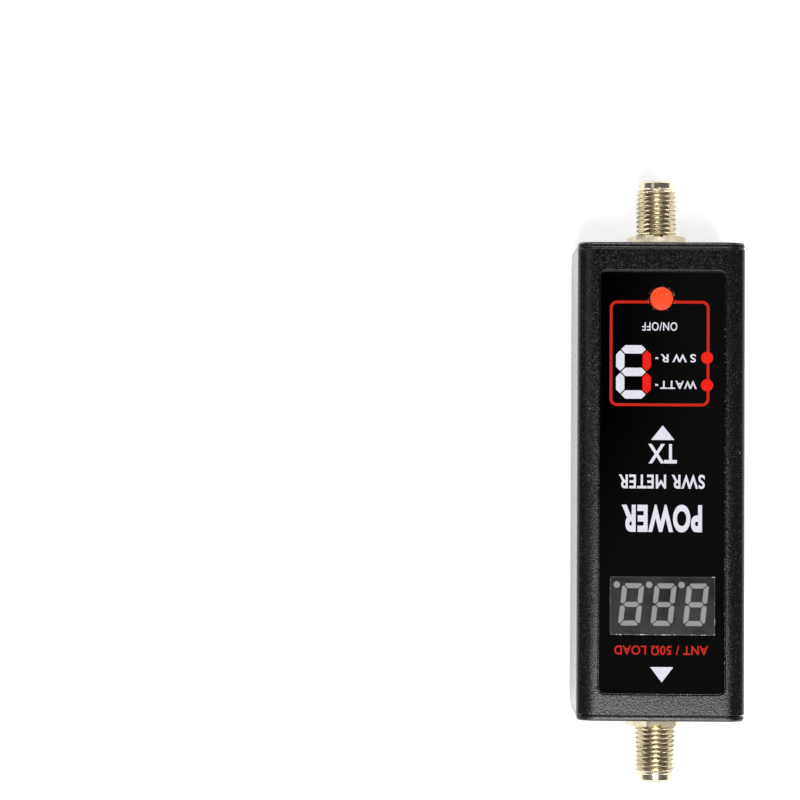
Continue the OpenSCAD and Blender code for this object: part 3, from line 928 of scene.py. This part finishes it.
def print_mode_frame(red, bright):
    """The rounded outline with its two dots, which are printed over it."""
    low, high = Vector((-7.91, 11.33)), Vector((7.16, 27.31))
    line, corner = 0.43, 1.15
    centre, size = (low + high) / 2, high - low
    bottom, top = ink_heights()
    loops = []
    for inset, z in ((0, bottom), (0, top), (line, top), (line, bottom)):
        outline = rounded_rect(size.x - 2 * inset, size.y - 2 * inset, corner - inset)
        loops.append([(centre.x + x, centre.y + y, z) for x, y in outline])
    ring = combined(skin(loops, closed=True), "DIFFERENCE", [label_hole(bottom, top)])
    add_piece(ring, "mode_outline", red)
    dot_radius, dot_x, dot_rise = 0.92, 6.8, 0.004
    dots = [circle(dot_radius, 48, dot_x, y) for y in (18.69, 14.54)]
    raised = printed(dots, "mode_dots", bright)
    raised.data.transform(Matrix.Translation((0, 0, dot_rise * MM)))


def segment(a, b, stroke, gap):
    """A display segment from a to b, with pointed ends."""
    a, b = Vector(a), Vector(b)
    along = (b - a).normalized()
    across = Vector((-along.y, along.x)) * stroke / 2
    start, end = a + along * gap, b - along * gap
    half = along * stroke / 2
    points = [start, start + half - across, end - half - across]
    points += [end, end - half + across, start + half + across]
    return [(p.x, p.y) for p in points]


def digit_runs(width, height, stroke):
    """The seven centre lines of a digit about its own middle, by name."""
    x, y = (width - stroke) / 2, (height - stroke) / 2
    return {
        "top": ((-x, y), (x, y)), "middle": ((-x, 0), (x, 0)), "bottom": ((-x, -y), (x, -y)),
        "upper_left": ((-x, 0), (-x, y)), "lower_left": ((-x, -y), (-x, 0)),
        "upper_right": ((x, 0), (x, y)), "lower_right": ((x, -y), (x, 0)),
    }


def print_mode_digit(white, bright):
    """The upright digit beside the mode legends, with its two +X segments in bright red."""
    centre = Vector((-4.3, 16.5))
    width, height, stroke, gap = 5.27, 8.1, 1.27, 0.13
    inks = {"white": [], "red": []}
    for name, (a, b) in digit_runs(width, height, stroke).items():
        outline = softened(segment(a, b, stroke, gap), 0.08)
        placed = [(centre.x + x, centre.y + y) for x, y in outline]
        inks["red" if name.endswith("right") else "white"].append(placed)
    printed(inks["white"], "mode_digit_white", white)
    printed(inks["red"], "mode_digit_red", bright)


def print_arrows(white):
    """The arrows that point at the two jacks."""
    upper = [(-1.62, 6.23), (1.92, 6.23), (0.15, 8.45)]
    lower = [(-1.65, -28.0), (0.1, -30.33), (1.85, -28.0)]
    printed([softened(upper, 0.1), softened(lower, 0.1)], "port_arrows", white)


def word_mesh(text, low, high, weight, spacing):
    """A word that reads with -Y up, fitted to the box from low to high."""
    curve = bpy.data.curves.new("word", "FONT")
    curve.body = text
    curve.size = 1.0
    curve.offset = weight
    curve.resolution_u = 6
    curve.space_character = spacing
    curve.extrude = 0.5
    obj = bpy.data.objects.new("word", curve)
    bpy.context.scene.collection.objects.link(obj)
    graph = bpy.context.evaluated_depsgraph_get()
    mesh = bpy.data.meshes.new_from_object(obj.evaluated_get(graph))
    bm = bmesh.new()
    bm.from_mesh(mesh)
    bmesh.ops.remove_doubles(bm, verts=bm.verts, dist=1e-5)
    bmesh.ops.dissolve_degenerate(bm, edges=bm.edges, dist=1e-5)
    bpy.data.objects.remove(obj)
    bpy.data.curves.remove(curve)
    bpy.data.meshes.remove(mesh)
    corners = [Vector([f(v.co[i] for v in bm.verts) for i in range(3)]) for f in (min, max)]
    size = corners[1] - corners[0]
    bottom, top = ink_heights()
    for v in bm.verts:
        share = v.co - corners[0]
        x = high[0] - share.x / size.x * (high[0] - low[0])
        y = high[1] - share.y / size.y * (high[1] - low[1])
        z = bottom + share.z / size.z * (top - bottom)
        v.co = (x, y, z)
    return bm


def print_words(white, red):
    """The legends, which read with the antenna end at the top."""
    white_words = [
        ("ON/OFF", (-3.0, 22.75), (2.3, 24.05), 0.012, 1.1),
        ("SWR", (-0.2, 17.97), (5.1, 19.23), 0.02, 1.5),
        ("WATT", (-0.25, 13.95), (5.25, 15.2), 0.02, 1.12),
        ("TX", (-2.05, 2.68), (2.3, 5.63), 0.022, 1.0),
        ("SWR METER", (-6.45, -1.13), (6.5, 1.02), 0.024, 1.08),
        ("POWER", (-6.0, -7.71), (6.1, -3.52), 0.045, 1.12),
    ]
    words = [word_mesh(*word) for word in white_words]
    add_piece(joined(words), "white_legends", white)
    half = 0.13
    dashes = [rect_outline(-1.0, y - half, -0.58, y + half) for y in (18.6, 14.55)]
    printed(dashes, "mode_dashes", white)
    antenna = word_mesh("ANT / 50Ω LOAD", (-7.05, -26.25), (7.05, -24.78), 0.02, 1.08)
    add_piece(antenna, "red_legend", red)


def build_film_edge_glints(material):
    """Tiny pale specks round the button and at the film's +X and antenna edges, painted glints where light
    catches the film's cut edge.
    """
    source = random.Random(7)
    low, high = box_mm("front_label")
    button = middle("button_plunger")
    reach, inset, margin, rise = LABEL_HOLE_RADIUS + 0.04, 0.03, 1.0, 0.02
    places = []
    for _ in range(22):
        a = source.uniform(0, 2 * math.pi)
        places.append((button.x + reach * math.cos(a), button.y + reach * math.sin(a)))
    places += [(high.x - inset, source.uniform(low.y + margin, high.y - margin)) for _ in range(26)]
    places += [(source.uniform(low.x + margin, high.x - margin), low.y + inset) for _ in range(22)]
    # each speck is a painted glint on the film's edge
    glint_specks = []
    for x, y in places:
        outline = circle(source.uniform(0.015, 0.055), 5, x, y)
        glint_specks.append(flat_prism(outline, high.z - rise, high.z + rise))
    add_piece(joined(glint_specks), "film_edge_glints", material)


def rect_outline(x0, y0, x1, y1):
    return [(x0, y0), (x1, y0), (x1, y1), (x0, y1)]


# ---------- the display ----------


def display_segments(width, height, stroke, gap):
    """The seven segments of a digit about its own middle, parted by narrow diagonal gaps."""
    w, h, s, d = width / 2, height / 2, stroke, gap * math.sqrt(2)
    c = 0.24  # half of the digit's own cut corner
    rounding = 0.12
    top = [(-w + 2 * c, h), (-w + c + d, h - c), (-w + s + d, h - s)]
    top += [(-x, y) for x, y in reversed(top)]
    side = [(-w, h - 2 * c), (-w, d + 0.3 * s), (-w + s / 2, d), (-w + s, s / 2 + d), (-w + s, h - s - d)]
    side += [(-w + c, h - c - d)]
    reach = w - s / 2 - d
    bar = [(-reach, 0), (-reach + s / 2, s / 2), (reach - s / 2, s / 2), (reach, 0)]
    bar += [(reach - s / 2, -s / 2), (-reach + s / 2, -s / 2)]
    outlines = [top, bar, [(x, -y) for x, y in reversed(top)]]
    for sx, sy in ((1, 1), (-1, 1), (1, -1), (-1, -1)):
        outline = [(sx * x, sy * y) for x, y in side]
        outlines.append(outline if sx * sy > 0 else outline[::-1])
    return [softened(outline, rounding) for outline in outlines]


class BuildDisplay(bpy.types.Operator):
    """Builds the display module, its face and its unlit segments"""

    bl_idname = "swr_meter.build_display"
    bl_label = "Build the display"

    def execute(self, context):
        settings = context.scene.meter_display
        # the resin's pale flecks are partly dust and partly painted glints
        resin = moulded_plastic("display_resin", (0.05, 0.05, 0.052), 0.35, dust=0.08)
        face = moulded_plastic(
            "display_face", tuple(settings.face_color), 0.22, dust=0.01, Specular_IOR_Level=0.3
        )
        light = moulded_plastic(
            "display_segment", tuple(settings.segment_color), 0.42, Specular_IOR_Level=0.25
        )
        low, high = box_mm("display_body")
        place, size = (low + high) / 2, high - low
        shoulder = high.z - 0.05
        corner, edge = 0.2, 0.1
        body = box_prism(size.x, size.y, corner, rounded_ends(low.z, shoulder, edge), place.x, place.y, 3)
        add_piece(body, "display_module", resin, replaces=["display_body"])
        border, plate_corner, sunk, plate_edge = 0.13, 0.15, 0.1, 0.03
        plate = box_prism(
            size.x - 2 * border, size.y - 2 * border, plate_corner,
            rounded_ends(shoulder - sunk, high.z, plate_edge), place.x, place.y, 3,
        )
        add_piece(plate, "display_front", face)
        build_digits(settings, light, high.z)
        # the edge flecks are real chips whose pale colour is a painted glint
        glint_resin = moulded_plastic("edge_glint_resin", (0.7, 0.7, 0.67), 0.3, dust=0.1)
        build_display_edge_glints(glint_resin, low, high)
        return {"FINISHED"}


def build_display_edge_glints(material, low, high):
    """Pale flecks along the module's edges, most of them on the antenna side: chips in the resin, with their
    pale colour a painted glint where light catches the chipped edges.
    """
    source = random.Random(33)
    inset, margin, sides, depth = 0.1, 0.02, 7, 0.08
    runs = [  # how many chips, from where, to where, and how long each may be
        (26, (low.x, low.y + inset), (high.x, low.y + inset), 0.26),
        (5, (low.x + inset, low.y), (low.x + inset, high.y), 0.12),
        (5, (high.x - inset, low.y), (high.x - inset, high.y), 0.12),
        (4, (high.x - 0.5, high.y - inset), (high.x - inset, high.y - inset), 0.12),
        (5, (low.x + inset, low.y + inset), (low.x + 0.6, low.y + 0.3), 0.2),
        (5, (high.x - 0.5, low.y + 0.3), (high.x - inset, low.y + inset), 0.2),
    ]
    flecks = []
    for count, start, end, length in runs:
        along = Vector(end) - Vector(start)
        turn = math.atan2(along.y, along.x)
        for _ in range(count):
            place = Vector(start) + along * source.uniform(0.03, 0.97)
            half_l, half_w = length * source.uniform(0.3, 1.0), source.uniform(0.03, 0.08)
            outline = []
            for k in range(sides):
                a = 2 * math.pi * k / sides
                reach = source.uniform(0.6, 1.0)
                outline.append((half_l * reach * math.cos(a), half_w * reach * math.sin(a)))
            fleck = flat_prism(outline, high.z - depth, high.z - source.uniform(0.0, 0.03))
            spin = Matrix.Rotation(turn + source.uniform(-0.3, 0.3), 4, "Z")
            place.x = min(max(place.x, low.x + half_w + margin), high.x - half_w - margin)
            flecks.append(moved(fleck, Matrix.Translation((place.x, place.y, 0)) @ spin))
    glint_flecks = joined(flecks)
    for v in glint_flecks.verts:
        v.co.x = min(max(v.co.x, low.x), high.x)
        v.co.y = min(max(v.co.y, low.y), high.y)
    add_piece(glint_flecks, "display_edge_glints", material)


def build_digits(settings, material, face):
    """Three slanted digits and their decimal points, a hair proud of the face."""
    bottom, top, gap = face - 0.25, face + 0.012, 0.07
    point_radius, point_place = 0.49, Vector((-2.18, 2.97))
    lean = math.tan(settings.slant)
    pitch = settings.digit_pitch / MM
    sizes = (settings.digit_width / MM, settings.digit_height / MM, settings.stroke / MM)
    middle_digit = middle("display_body").xy + Vector((0.16, 0.2))
    solids = []
    for i in (-1, 0, 1):
        centre = middle_digit + Vector((i * pitch, 0))
        for outline in display_segments(*sizes, gap):
            placed = [(centre.x + x + y * lean, centre.y + y) for x, y in outline]
            solids.append(flat_prism(placed, bottom, top))
        point = centre + point_place
        solids.append(flat_prism(circle(point_radius, 32, point.x, point.y), bottom, top))
    add_piece(
        joined(solids), "display_digits", material,
        replaces=["display_segments"],
    )


# ---------- the button ----------


class BuildButton(bpy.types.Operator):
    """Builds the push button's plunger and the dome under it"""

    bl_idname = "swr_meter.build_button"
    bl_label = "Build the button"

    def execute(self, context):
        color = tuple(context.scene.meter_button.color)
        material = moulded_plastic("orange_button", color, 0.35, dust=0.05, Specular_IOR_Level=0.3)
        low, high = box_mm("button_plunger")
        place = (low + high) / 2
        radius, flange, edge, flange_t = BUTTON_RADIUS, (high.x - low.x) / 2, 0.28, 1.88
        dome = 0.06
        rows = [(0, low.z), (flange, low.z), (flange, low.z + flange_t), (radius, low.z + flange_t)]
        shoulder = high.z - dome - edge
        for s in range(7):
            a = math.pi / 2 * s / 6
            rows.append((radius - edge + edge * math.cos(a), shoulder + edge * math.sin(a)))
        for share in (0.7, 0.4, 0.0):
            rows.append((share * (radius - edge), high.z - dome * share ** 2))
        cap = moved(turned(rows, 72, closed=False), Matrix.Translation((place.x, place.y, 0)))
        add_piece(cap, "button_cap", material, body=BUTTON, replaces=["button_plunger"])
        build_snap_dome(plated_metal("dome_steel", (0.7, 0.7, 0.7), 0.25))
        return {"FINISHED"}


def build_snap_dome(material):
    """The sheet steel dome under the button."""
    sheet, rings, pressed = 0.08, 12, 0.43
    low, high = box_mm("switch_dome")
    radius, rise = (high.x - low.x) / 2, high.z - low.z - sheet
    bend = (radius ** 2 + rise ** 2) / (2 * rise)
    across = [radius * s / rings for s in range(rings + 1)]
    rows = [(r, high.z - sheet - bend + math.sqrt(bend ** 2 - r ** 2)) for r in across]
    outer = bend + sheet
    rows += [(r, high.z - outer + math.sqrt(outer ** 2 - r ** 2)) for r in reversed(across)]
    place = Vector(((low.x + high.x) / 2, (low.y + high.y) / 2, 0))
    dome = moved(turned(rows, 72, closed=False), Matrix.Translation(place))
    piece = add_piece(dome, "snap_dome", material, replaces=["switch_dome"])
    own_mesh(piece)


# ---------- the coaxial jacks ----------


class BuildJacks(bpy.types.Operator):
    """Builds both coaxial jacks with their threads, nuts and washers"""

    bl_idname = "swr_meter.build_jacks"
    bl_label = "Build the jacks"

    def execute(self, context):
        settings = context.scene.meter_jacks
        nickel = plated_metal("nickel_plate", tuple(settings.plate_color), 0.23, depth=0.000001)
        ptfe = moulded_plastic("white_insulator", (0.86, 0.86, 0.84), 0.45)
        gold = plated_metal("gold_plate", (0.95, 0.7, 0.3), 0.2)
        for end, side in ENDS.items():
            build_barrel(settings, nickel, end, side)
            build_insulator(ptfe, end, side)
            build_contact(gold, end, side)
            build_washer(settings, nickel, end, side)
            build_nut(settings, nickel, end, side)
        return {"FINISHED"}


def thread_radius(turn, major, depth):
    """Radius of the thread at a share of a turn, with rounded crest and root."""
    share = turn % 1.0
    curve = 0.5 - 0.5 * math.cos(2 * math.pi * share)  # 1 at the crest and 0 at the root
    ridge = min(max((0.9 - abs(share - 0.5) * 2) / 0.78, 0.0), 1.0)
    return major - depth * (1 - 0.3 * curve - 0.7 * ridge)


def build_barrel(settings, material, end, side):
    """The threaded barrel, its mouth, and the square shoulder and legs behind the end plate."""
    inner = span_along(f"{end}_jack_insulator")[0]
    plate = span_along(f"{end}_jack_washer")[0]
    tip = span_along(f"{end}_jack_body")[1]
    major, depth, pitch = 3.165, 0.41, settings.pitch / MM
    bore, mouth, mouth_depth, mouth_rim = 2.05, 2.32, 1.9, 0.1
    pilot, pilot_length, chamfer = 2.68, 1.15, 0.3
    start, stop = plate - 0.2, tip - chamfer
    per_turn = 10

    def thread_row(j):
        def at(angle):
            turn = angle / (2 * math.pi)
            height = start + pitch * (j / per_turn - 1 + turn)
            height = min(max(height, start), stop)
            radius = thread_radius((height - start) / pitch - turn, major, depth)
            return min(radius, pilot + max(tip - pilot_length - height, 0.0)), height
        return at

    rows = [(bore, inner), (bore, tip - mouth_depth), (mouth, tip - mouth_depth), (mouth, tip - mouth_rim)]
    rows += [(mouth + mouth_rim, tip), (pilot - chamfer, tip), (pilot, tip - chamfer)]
    count = math.ceil((stop - start) / pitch + 1) * per_turn
    rows += [thread_row(j) for j in range(count, -1, -1)]
    rows += [(major - depth, start), (major - depth, inner)]
    barrel = turned(rows, settings.columns)
    barrel = combined(barrel, "UNION", [barrel_blocks(end, inner, bore)])
    moved(barrel, end_matrix(side, middle(f"{end}_jack_body").z))
    add_piece(barrel, end + "_jack_barrel", material, sharp=28, replaces=[end + "_jack_body"])


def barrel_blocks(end, inner, bore):
    """The square shoulder behind the end plate and its four legs, which hold the board's edge."""
    box = extent(f"{end}_jack_body")
    thick, corner, edge, clear = 1.95, 0.3, 0.1, 0.3
    leg_w, leg_l, leg_corner, overlap = 1.0, 2.2, 0.1, 0.2
    shoulder = box_prism(box.x, box.z, corner, rounded_ends(inner, inner + thick, edge))
    hole = flat_prism(circle(bore + clear, 64), inner - OVER, inner + thick + OVER)
    blocks = combined(shoulder, "DIFFERENCE", [hole])
    legs = []
    board_low, board_high = box_mm("main_board")
    axis = middle(f"{end}_jack_body").z
    for x in (-1, 1):
        for z in (board_high.z + leg_w / 2 - axis, board_low.z - leg_w / 2 - axis):
            profile = [(0, inner - leg_l), (0, inner + overlap)]
            leg = box_prism(leg_w, leg_w, leg_corner, profile, steps=2)
            legs.append(moved(leg, Matrix.Translation((x * (box.x - leg_w) / 2, -z, 0))))
    return combined(blocks, "UNION", legs)


def build_insulator(material, end, side):
    low, high = span_along(f"{end}_jack_insulator")
    outer, inner, edge = 2.04, 0.77, 0.05
    rows = [
        (inner, low), (inner, high - edge), (inner + edge, high), (outer - edge, high),
        (outer, high - edge), (outer, low),
    ]
    ring = moved(turned(rows, 64), end_matrix(side, middle(f"{end}_jack_insulator").z))
    add_piece(ring, end + "_jack_dielectric", material, replaces=[end + "_jack_insulator"])


def build_contact(material, end, side):
    """The gold centre contact: a slotted socket with a tail."""
    inner = span_along(f"{end}_jack_insulator")[0]
    tail_end, face = span_along(f"{end}_jack_contact")
    outer, socket, tail, depth = 0.75, 0.48, 0.45, 3.0
    edge, rim, slot_half, slot_depth = 0.08, 0.12, 0.09, 2.0
    rows = [
        (0, tail_end), (tail - edge, tail_end), (tail, tail_end + edge), (tail, inner), (outer, inner),
        (outer, face - rim), (outer - rim, face), (socket + edge, face), (socket, face - rim),
        (socket, face - depth), (0, face - depth),
    ]
    slots = []
    for turn in (45, 135):
        outline = rect_outline(-2 * outer, -slot_half, 2 * outer, slot_half)
        cutter = flat_prism(outline, face - slot_depth, face + OVER)
        slots.append(moved(cutter, Matrix.Rotation(math.radians(turn), 4, "Z")))
    contact = combined(turned(rows, 48, closed=False), "DIFFERENCE", slots)
    moved(contact, end_matrix(side, middle(f"{end}_jack_contact").z))
    add_piece(contact, end + "_jack_socket", material, replaces=[end + "_jack_contact"])


def build_washer(settings, material, end, side):
    """Lock washer with teeth round its hole."""
    near, far = span_along(f"{end}_jack_washer")
    outer, hole, tooth = extent(f"{end}_jack_washer").x / 2, 3.25, 0.35
    teeth, edge = 12, 0.08

    def inner_row(height):
        def at(angle):
            open_part = math.sin(angle * teeth) > 0
            return (hole + (tooth if open_part else 0.0), height)
        return at

    rows = [
        inner_row(near), inner_row(far), (outer - edge, far), (outer, far - edge),
        (outer, near + edge), (outer - edge, near),
    ]
    washer = moved(turned(rows, settings.columns), end_matrix(side, middle(f"{end}_jack_washer").z))
    add_piece(washer, end + "_lock_washer", material, replaces=[end + "_jack_washer"])


def build_nut(settings, material, end, side):
    """Hexagon nut with chamfered corners, a chamfered hole and a slot in its outer face."""
    near, far = span_along(f"{end}_jack_nut")
    flat, hole, face_r, rim, chamfer = 4.0, 2.98, 3.92, 0.03, 0.3
    slot_w, slot_d, slot_edge, slot_end = 1.4, 0.45, 0.06, 0.5
    turns = {"tx": 16.5, "antenna": 9.0}

    def flat_radius(angle):
        share = (angle + math.pi / 6) % (math.pi / 3) - math.pi / 6
        return flat / math.cos(share)

    def wall_row(end_height, slope):
        def at(angle):
            radius = flat_radius(angle + math.pi / 6)
            return radius, end_height - max(radius - face_r, 0.0) * slope
        return at

    def face_row(height):
        return lambda angle: (min(flat_radius(angle + math.pi / 6), face_r), height)

    rows = [
        (hole, near), face_row(near), wall_row(near + rim, -0.1), wall_row(far - rim, 0.28), face_row(far),
        (hole + chamfer, far), (hole, far - chamfer),
    ]
    turn = Matrix.Rotation(math.radians(-turns[end]), 4, "Z")
    nut = moved(turned(rows, settings.columns), turn)
    slot = box_prism(slot_w, 2 * flat, 0.1, flared_top(far - slot_d, far, slot_edge, 0.5), steps=2)
    nut = combined(nut, "DIFFERENCE", [moved(slot, Matrix.Translation((0, -flat - slot_end, 0)))])
    moved(nut, end_matrix(side, middle(f"{end}_jack_nut").z))
    add_piece(nut, end + "_hex_nut", material, sharp=25, replaces=[end + "_jack_nut"])


# ---------- the charging socket ----------


class BuildChargingSocket(bpy.types.Operator):
    """Builds the charging socket's shell and tongue"""

    bl_idname = "swr_meter.build_charging_socket"
    bl_label = "Build the charging socket"

    def execute(self, context):
        steel = plated_metal("socket_steel", (0.78, 0.78, 0.77), 0.25)
        build_socket_shell(steel)
        plastic = moulded_plastic("socket_tongue", (0.02, 0.02, 0.02), 0.5)
        low, high = box_mm("usb_tongue")
        corner, edge = 0.12, 0.1
        profile = rounded_ends(low.x, high.x, edge)
        tongue = box_prism(high.y - low.y, high.z - low.z, corner, profile, steps=3)
        centre = (low + high) / 2
        moved(tongue, OUT_OF_SIDE @ Matrix.Translation((centre.y, centre.z, 0)))
        add_piece(tongue, "socket_tongue", plastic, replaces=["usb_tongue"])
        return {"FINISHED"}


def socket_outline(width, height, inset):
    """A charging socket's outline, wide at the top, with slanted lower corners."""
    w, h = width / 2 - inset, height / 2 - inset
    slant_w, slant_h = 1.0, 0.75
    corners = [
        (w, h), (-w, h), (-w, -h + slant_h), (-w + slant_w, -h), (w - slant_w, -h), (w, -h + slant_h),
    ]
    return softened(corners, 0.32, 4)


def build_socket_shell(material):
    low, high = box_mm("usb_shell")
    width, height, sheet, lip, back = high.y - low.y, high.z - low.z, 0.3, 0.06, 0.1
    rows = [(back, low.x), (0, low.x + back), (0, high.x - lip), (lip, high.x), (sheet - lip, high.x)]
    rows += [(sheet, high.x - lip), (sheet, low.x + sheet)]
    loops = [[(x, y, z) for x, y in socket_outline(width, height, inset)] for inset, z in rows]
    shell = skin(loops)
    centre = (low + high) / 2
    moved(shell, OUT_OF_SIDE @ Matrix.Translation((centre.y, centre.z, 0)))
    bmesh.ops.recalc_face_normals(shell, faces=shell.faces)
    add_piece(shell, "socket_shell", material, replaces=["usb_shell"])


# ---------- what lies inside ----------


class FinishInside(bpy.types.Operator):
    """Gives every frame node that still shows its own finish"""

    bl_idname = "swr_meter.finish_inside"
    bl_label = "Finish the inside"

    def execute(self, context):
        finishes = {
            "board": board_laminate("green_board"),
            "gold_copper": plated_metal("gilt_copper", (0.9, 0.6, 0.3), 0.25),
            "gold_plate": plated_metal("gilt_contact", (0.95, 0.7, 0.3), 0.2),
            "chip_black": moulded_plastic("chip_epoxy", (0.02, 0.02, 0.022), 0.6),
            "trimmer_cream": moulded_plastic("trimmer_ceramic", (0.6, 0.56, 0.46), 0.6),
            "tinned_pin": plated_metal("tinned_wire", (0.78, 0.78, 0.76), 0.3),
            "switch_black": moulded_plastic("switch_nylon", (0.015, 0.015, 0.015), 0.55),
            "plain_steel": plated_metal("spring_steel", (0.7, 0.7, 0.7), 0.28),
            "light_lens": moulded_plastic("light_lens", (0.8, 0.8, 0.7), 0.2),
            "cell_foil": plated_metal("cell_foil", (0.72, 0.73, 0.75), 0.35),
            "foam_pad": moulded_plastic("foam_tape", (0.03, 0.03, 0.032), 0.9, grain=0.00008),
            "wire_red": moulded_plastic("red_insulation", (0.6, 0.02, 0.015), 0.4),
            "wire_black": moulded_plastic("black_insulation", (0.015, 0.015, 0.015), 0.4),
            "plug_cream": moulded_plastic("plug_nylon", (0.8, 0.76, 0.66), 0.5),
            "capacitor_tan": moulded_plastic("capacitor_ceramic", (0.42, 0.3, 0.18), 0.5),
        }
        slots = {row["node"]: row["material_slot"] for row in frame["record"]["subparts"]}
        for name, obj in frame["nodes"].items():
            if obj.hide_render:
                continue
            if slots[name] not in finishes:
                raise RuntimeError(f"no finish for the frame node {name}")
            obj.material_slots[0].material = finishes[slots[name]]
        return {"FINISHED"}


# ---------- the stage ----------


class SetStage(bpy.types.Operator):
    """Sets the floor, the lights and the camera"""

    bl_idname = "swr_meter.set_stage"
    bl_label = "Set the stage"

    def execute(self, context):
        settings = context.scene.meter_stage
        add_floor(settings)
        add_softbox("low_softbox", (0.05, -0.8, 0.7), 0.8, 0.6, 9)
        add_softbox("near_softbox", (0.03, -0.36, 1.0), 0.4, 0.36, 4.9)
        add_softbox("high_softbox", (0.0, 0.85, 0.7), 0.8, 0.4, 7)
        add_softbox("tx_side_card", (-0.5, 0.14, 0.95), 0.2, 0.25, 0.28)
        add_softbox("antenna_side_card", (-0.22, -0.08, 0.97), 0.1, 0.12, 0.05)
        for x in (-0.7, 0.7):
            add_softbox("tx_corner_card", (x, 0.7, 0.07), 0.6, 0.1, 3.0)
            add_softbox("antenna_corner_card", (x, -0.7, 0.07), 0.6, 0.1, 1.8)
        add_graded_card(settings)
        world = bpy.data.worlds.new("room")
        world.use_nodes = True
        background = world.node_tree.nodes["Background"]
        background.inputs["Color"].default_value = (1.0, 1.0, 1.0, 1.0)
        background.inputs["Strength"].default_value = settings.world_light
        context.scene.world = world
        context.scene.view_settings.view_transform = "Standard"
        add_camera(context, settings)
        return {"FINISHED"}


def add_floor(settings):
    half, bottom, top = 1.5, -0.01, -0.0001
    floor = stage_piece(flat_prism(rect_outline(-half, -half, half, half), bottom, top), "floor")
    material, _, shader, _ = start_material("pale_floor", tuple(settings.floor_color), 0.7)
    shader.inputs["Emission Color"].default_value = (1.0, 1.0, 1.0, 1.0)
    shader.inputs["Emission Strength"].default_value = settings.floor_glow
    floor.data.materials.append(material)


def add_graded_card(settings):
    """A card overhead, faintly lit but for a dark corner, that gives the label its graded reflection."""
    height, thick = 1.0, 0.01
    corner, soft = Vector((0.084, 0.024)), 0.022
    down_slope = Vector((0.872, -0.488))
    outline = rect_outline(-0.5, -0.165, 0.5, 0.6)
    card = stage_piece(flat_prism(outline, height, height + thick), "graded_card")
    material, tree, shader, point = start_material(
        "graded_card", (0.0, 0.0, 0.0), 1.0, Specular_IOR_Level=0.0
    )
    split = tree.nodes.new("ShaderNodeSeparateXYZ")
    link(tree, point, split.inputs[0])
    right = maths(tree, "SUBTRACT", split.outputs["X"], corner.x)
    up = maths(tree, "SUBTRACT", split.outputs["Y"], corner.y)
    across = maths(tree, "MULTIPLY", right, down_slope.x)
    sloped = maths(tree, "ADD", across, maths(tree, "MULTIPLY", up, down_slope.y))
    lit = spread(tree, maths(tree, "MAXIMUM", right, sloped), -soft, soft)
    link(tree, mix_color(tree, lit, (0.0, 0.0, 0.0), (1.0, 1.0, 0.96)), shader.inputs["Emission Color"])
    shader.inputs["Emission Strength"].default_value = settings.card_glow
    card.data.materials.append(material)


def stage_piece(bm, name):
    """A mesh in metres that belongs to the stage."""
    mesh = bpy.data.meshes.new(name)
    bm.to_mesh(mesh)
    bm.free()
    obj = bpy.data.objects.new(name, mesh)
    bpy.context.scene.collection.objects.link(obj)
    return obj


def add_softbox(name, place, width, height, power):
    """An area light at a place in metres, aimed at the meter."""
    light = bpy.data.lights.new(name, "AREA")
    light.shape = "RECTANGLE"
    light.size, light.size_y = width, height
    light.energy = power
    obj = bpy.data.objects.new(name, light)
    obj.location = place
    obj.rotation_euler = (Vector((0, 0, 0)) - Vector(place)).to_track_quat("-Z", "Y").to_euler()
    bpy.context.scene.collection.objects.link(obj)


def add_camera(context, settings):
    camera = bpy.data.cameras.new("camera")
    camera.sensor_width = 36.0
    camera.lens = settings.lens
    camera.clip_start = 0.01
    obj = bpy.data.objects.new("camera", camera)
    obj.location = settings.camera_place
    obj.rotation_euler = settings.camera_turn
    context.scene.collection.objects.link(obj)
    context.scene.camera = obj


# ---------- add-on ----------


class SWR_METER_PT_build(bpy.types.Panel):
    """Lists the steps that build the meter, with their settings"""

    bl_label = "SWR Meter"
    bl_idname = "SWR_METER_PT_build"
    bl_space_type = "VIEW_3D"
    bl_region_type = "UI"
    bl_category = "SWR Meter"

    def draw(self, context):
        for operator, settings in STEPS:
            self.layout.operator(operator.bl_idname)
            if settings:
                group = getattr(context.scene, settings)
                for name in group.bl_rna.properties.keys():
                    if name not in ("rna_type", "name"):
                        self.layout.prop(group, name)


SETTINGS = {
    "meter_case": CaseSettings,
    "meter_print": PrintSettings,
    "meter_display": DisplaySettings,
    "meter_button": ButtonSettings,
    "meter_jacks": JackSettings,
    "meter_stage": StageSettings,
}
STEPS = [
    (BuildCase, "meter_case"),
    (BuildLabel, "meter_print"),
    (BuildDisplay, "meter_display"),
    (BuildButton, "meter_button"),
    (BuildJacks, "meter_jacks"),
    (BuildChargingSocket, None),
    (FinishInside, None),
    (SetStage, "meter_stage"),
]


def register():
    for group in SETTINGS.values():
        bpy.utils.register_class(group)
    for name, group in SETTINGS.items():
        setattr(bpy.types.Scene, name, PointerProperty(type=group))
    for operator, _ in STEPS:
        bpy.utils.register_class(operator)
    bpy.utils.register_class(SWR_METER_PT_build)


def unregister():
    bpy.utils.unregister_class(SWR_METER_PT_build)
    for operator, _ in reversed(STEPS):
        bpy.utils.unregister_class(operator)
    for name, group in reversed(SETTINGS.items()):
        delattr(bpy.types.Scene, name)
        bpy.utils.unregister_class(group)


def main():
    register()
    for operator, _ in STEPS:
        area, step = operator.bl_idname.split(".")
        getattr(getattr(bpy.ops, area), step)()


if __name__ == "__main__":
    main()
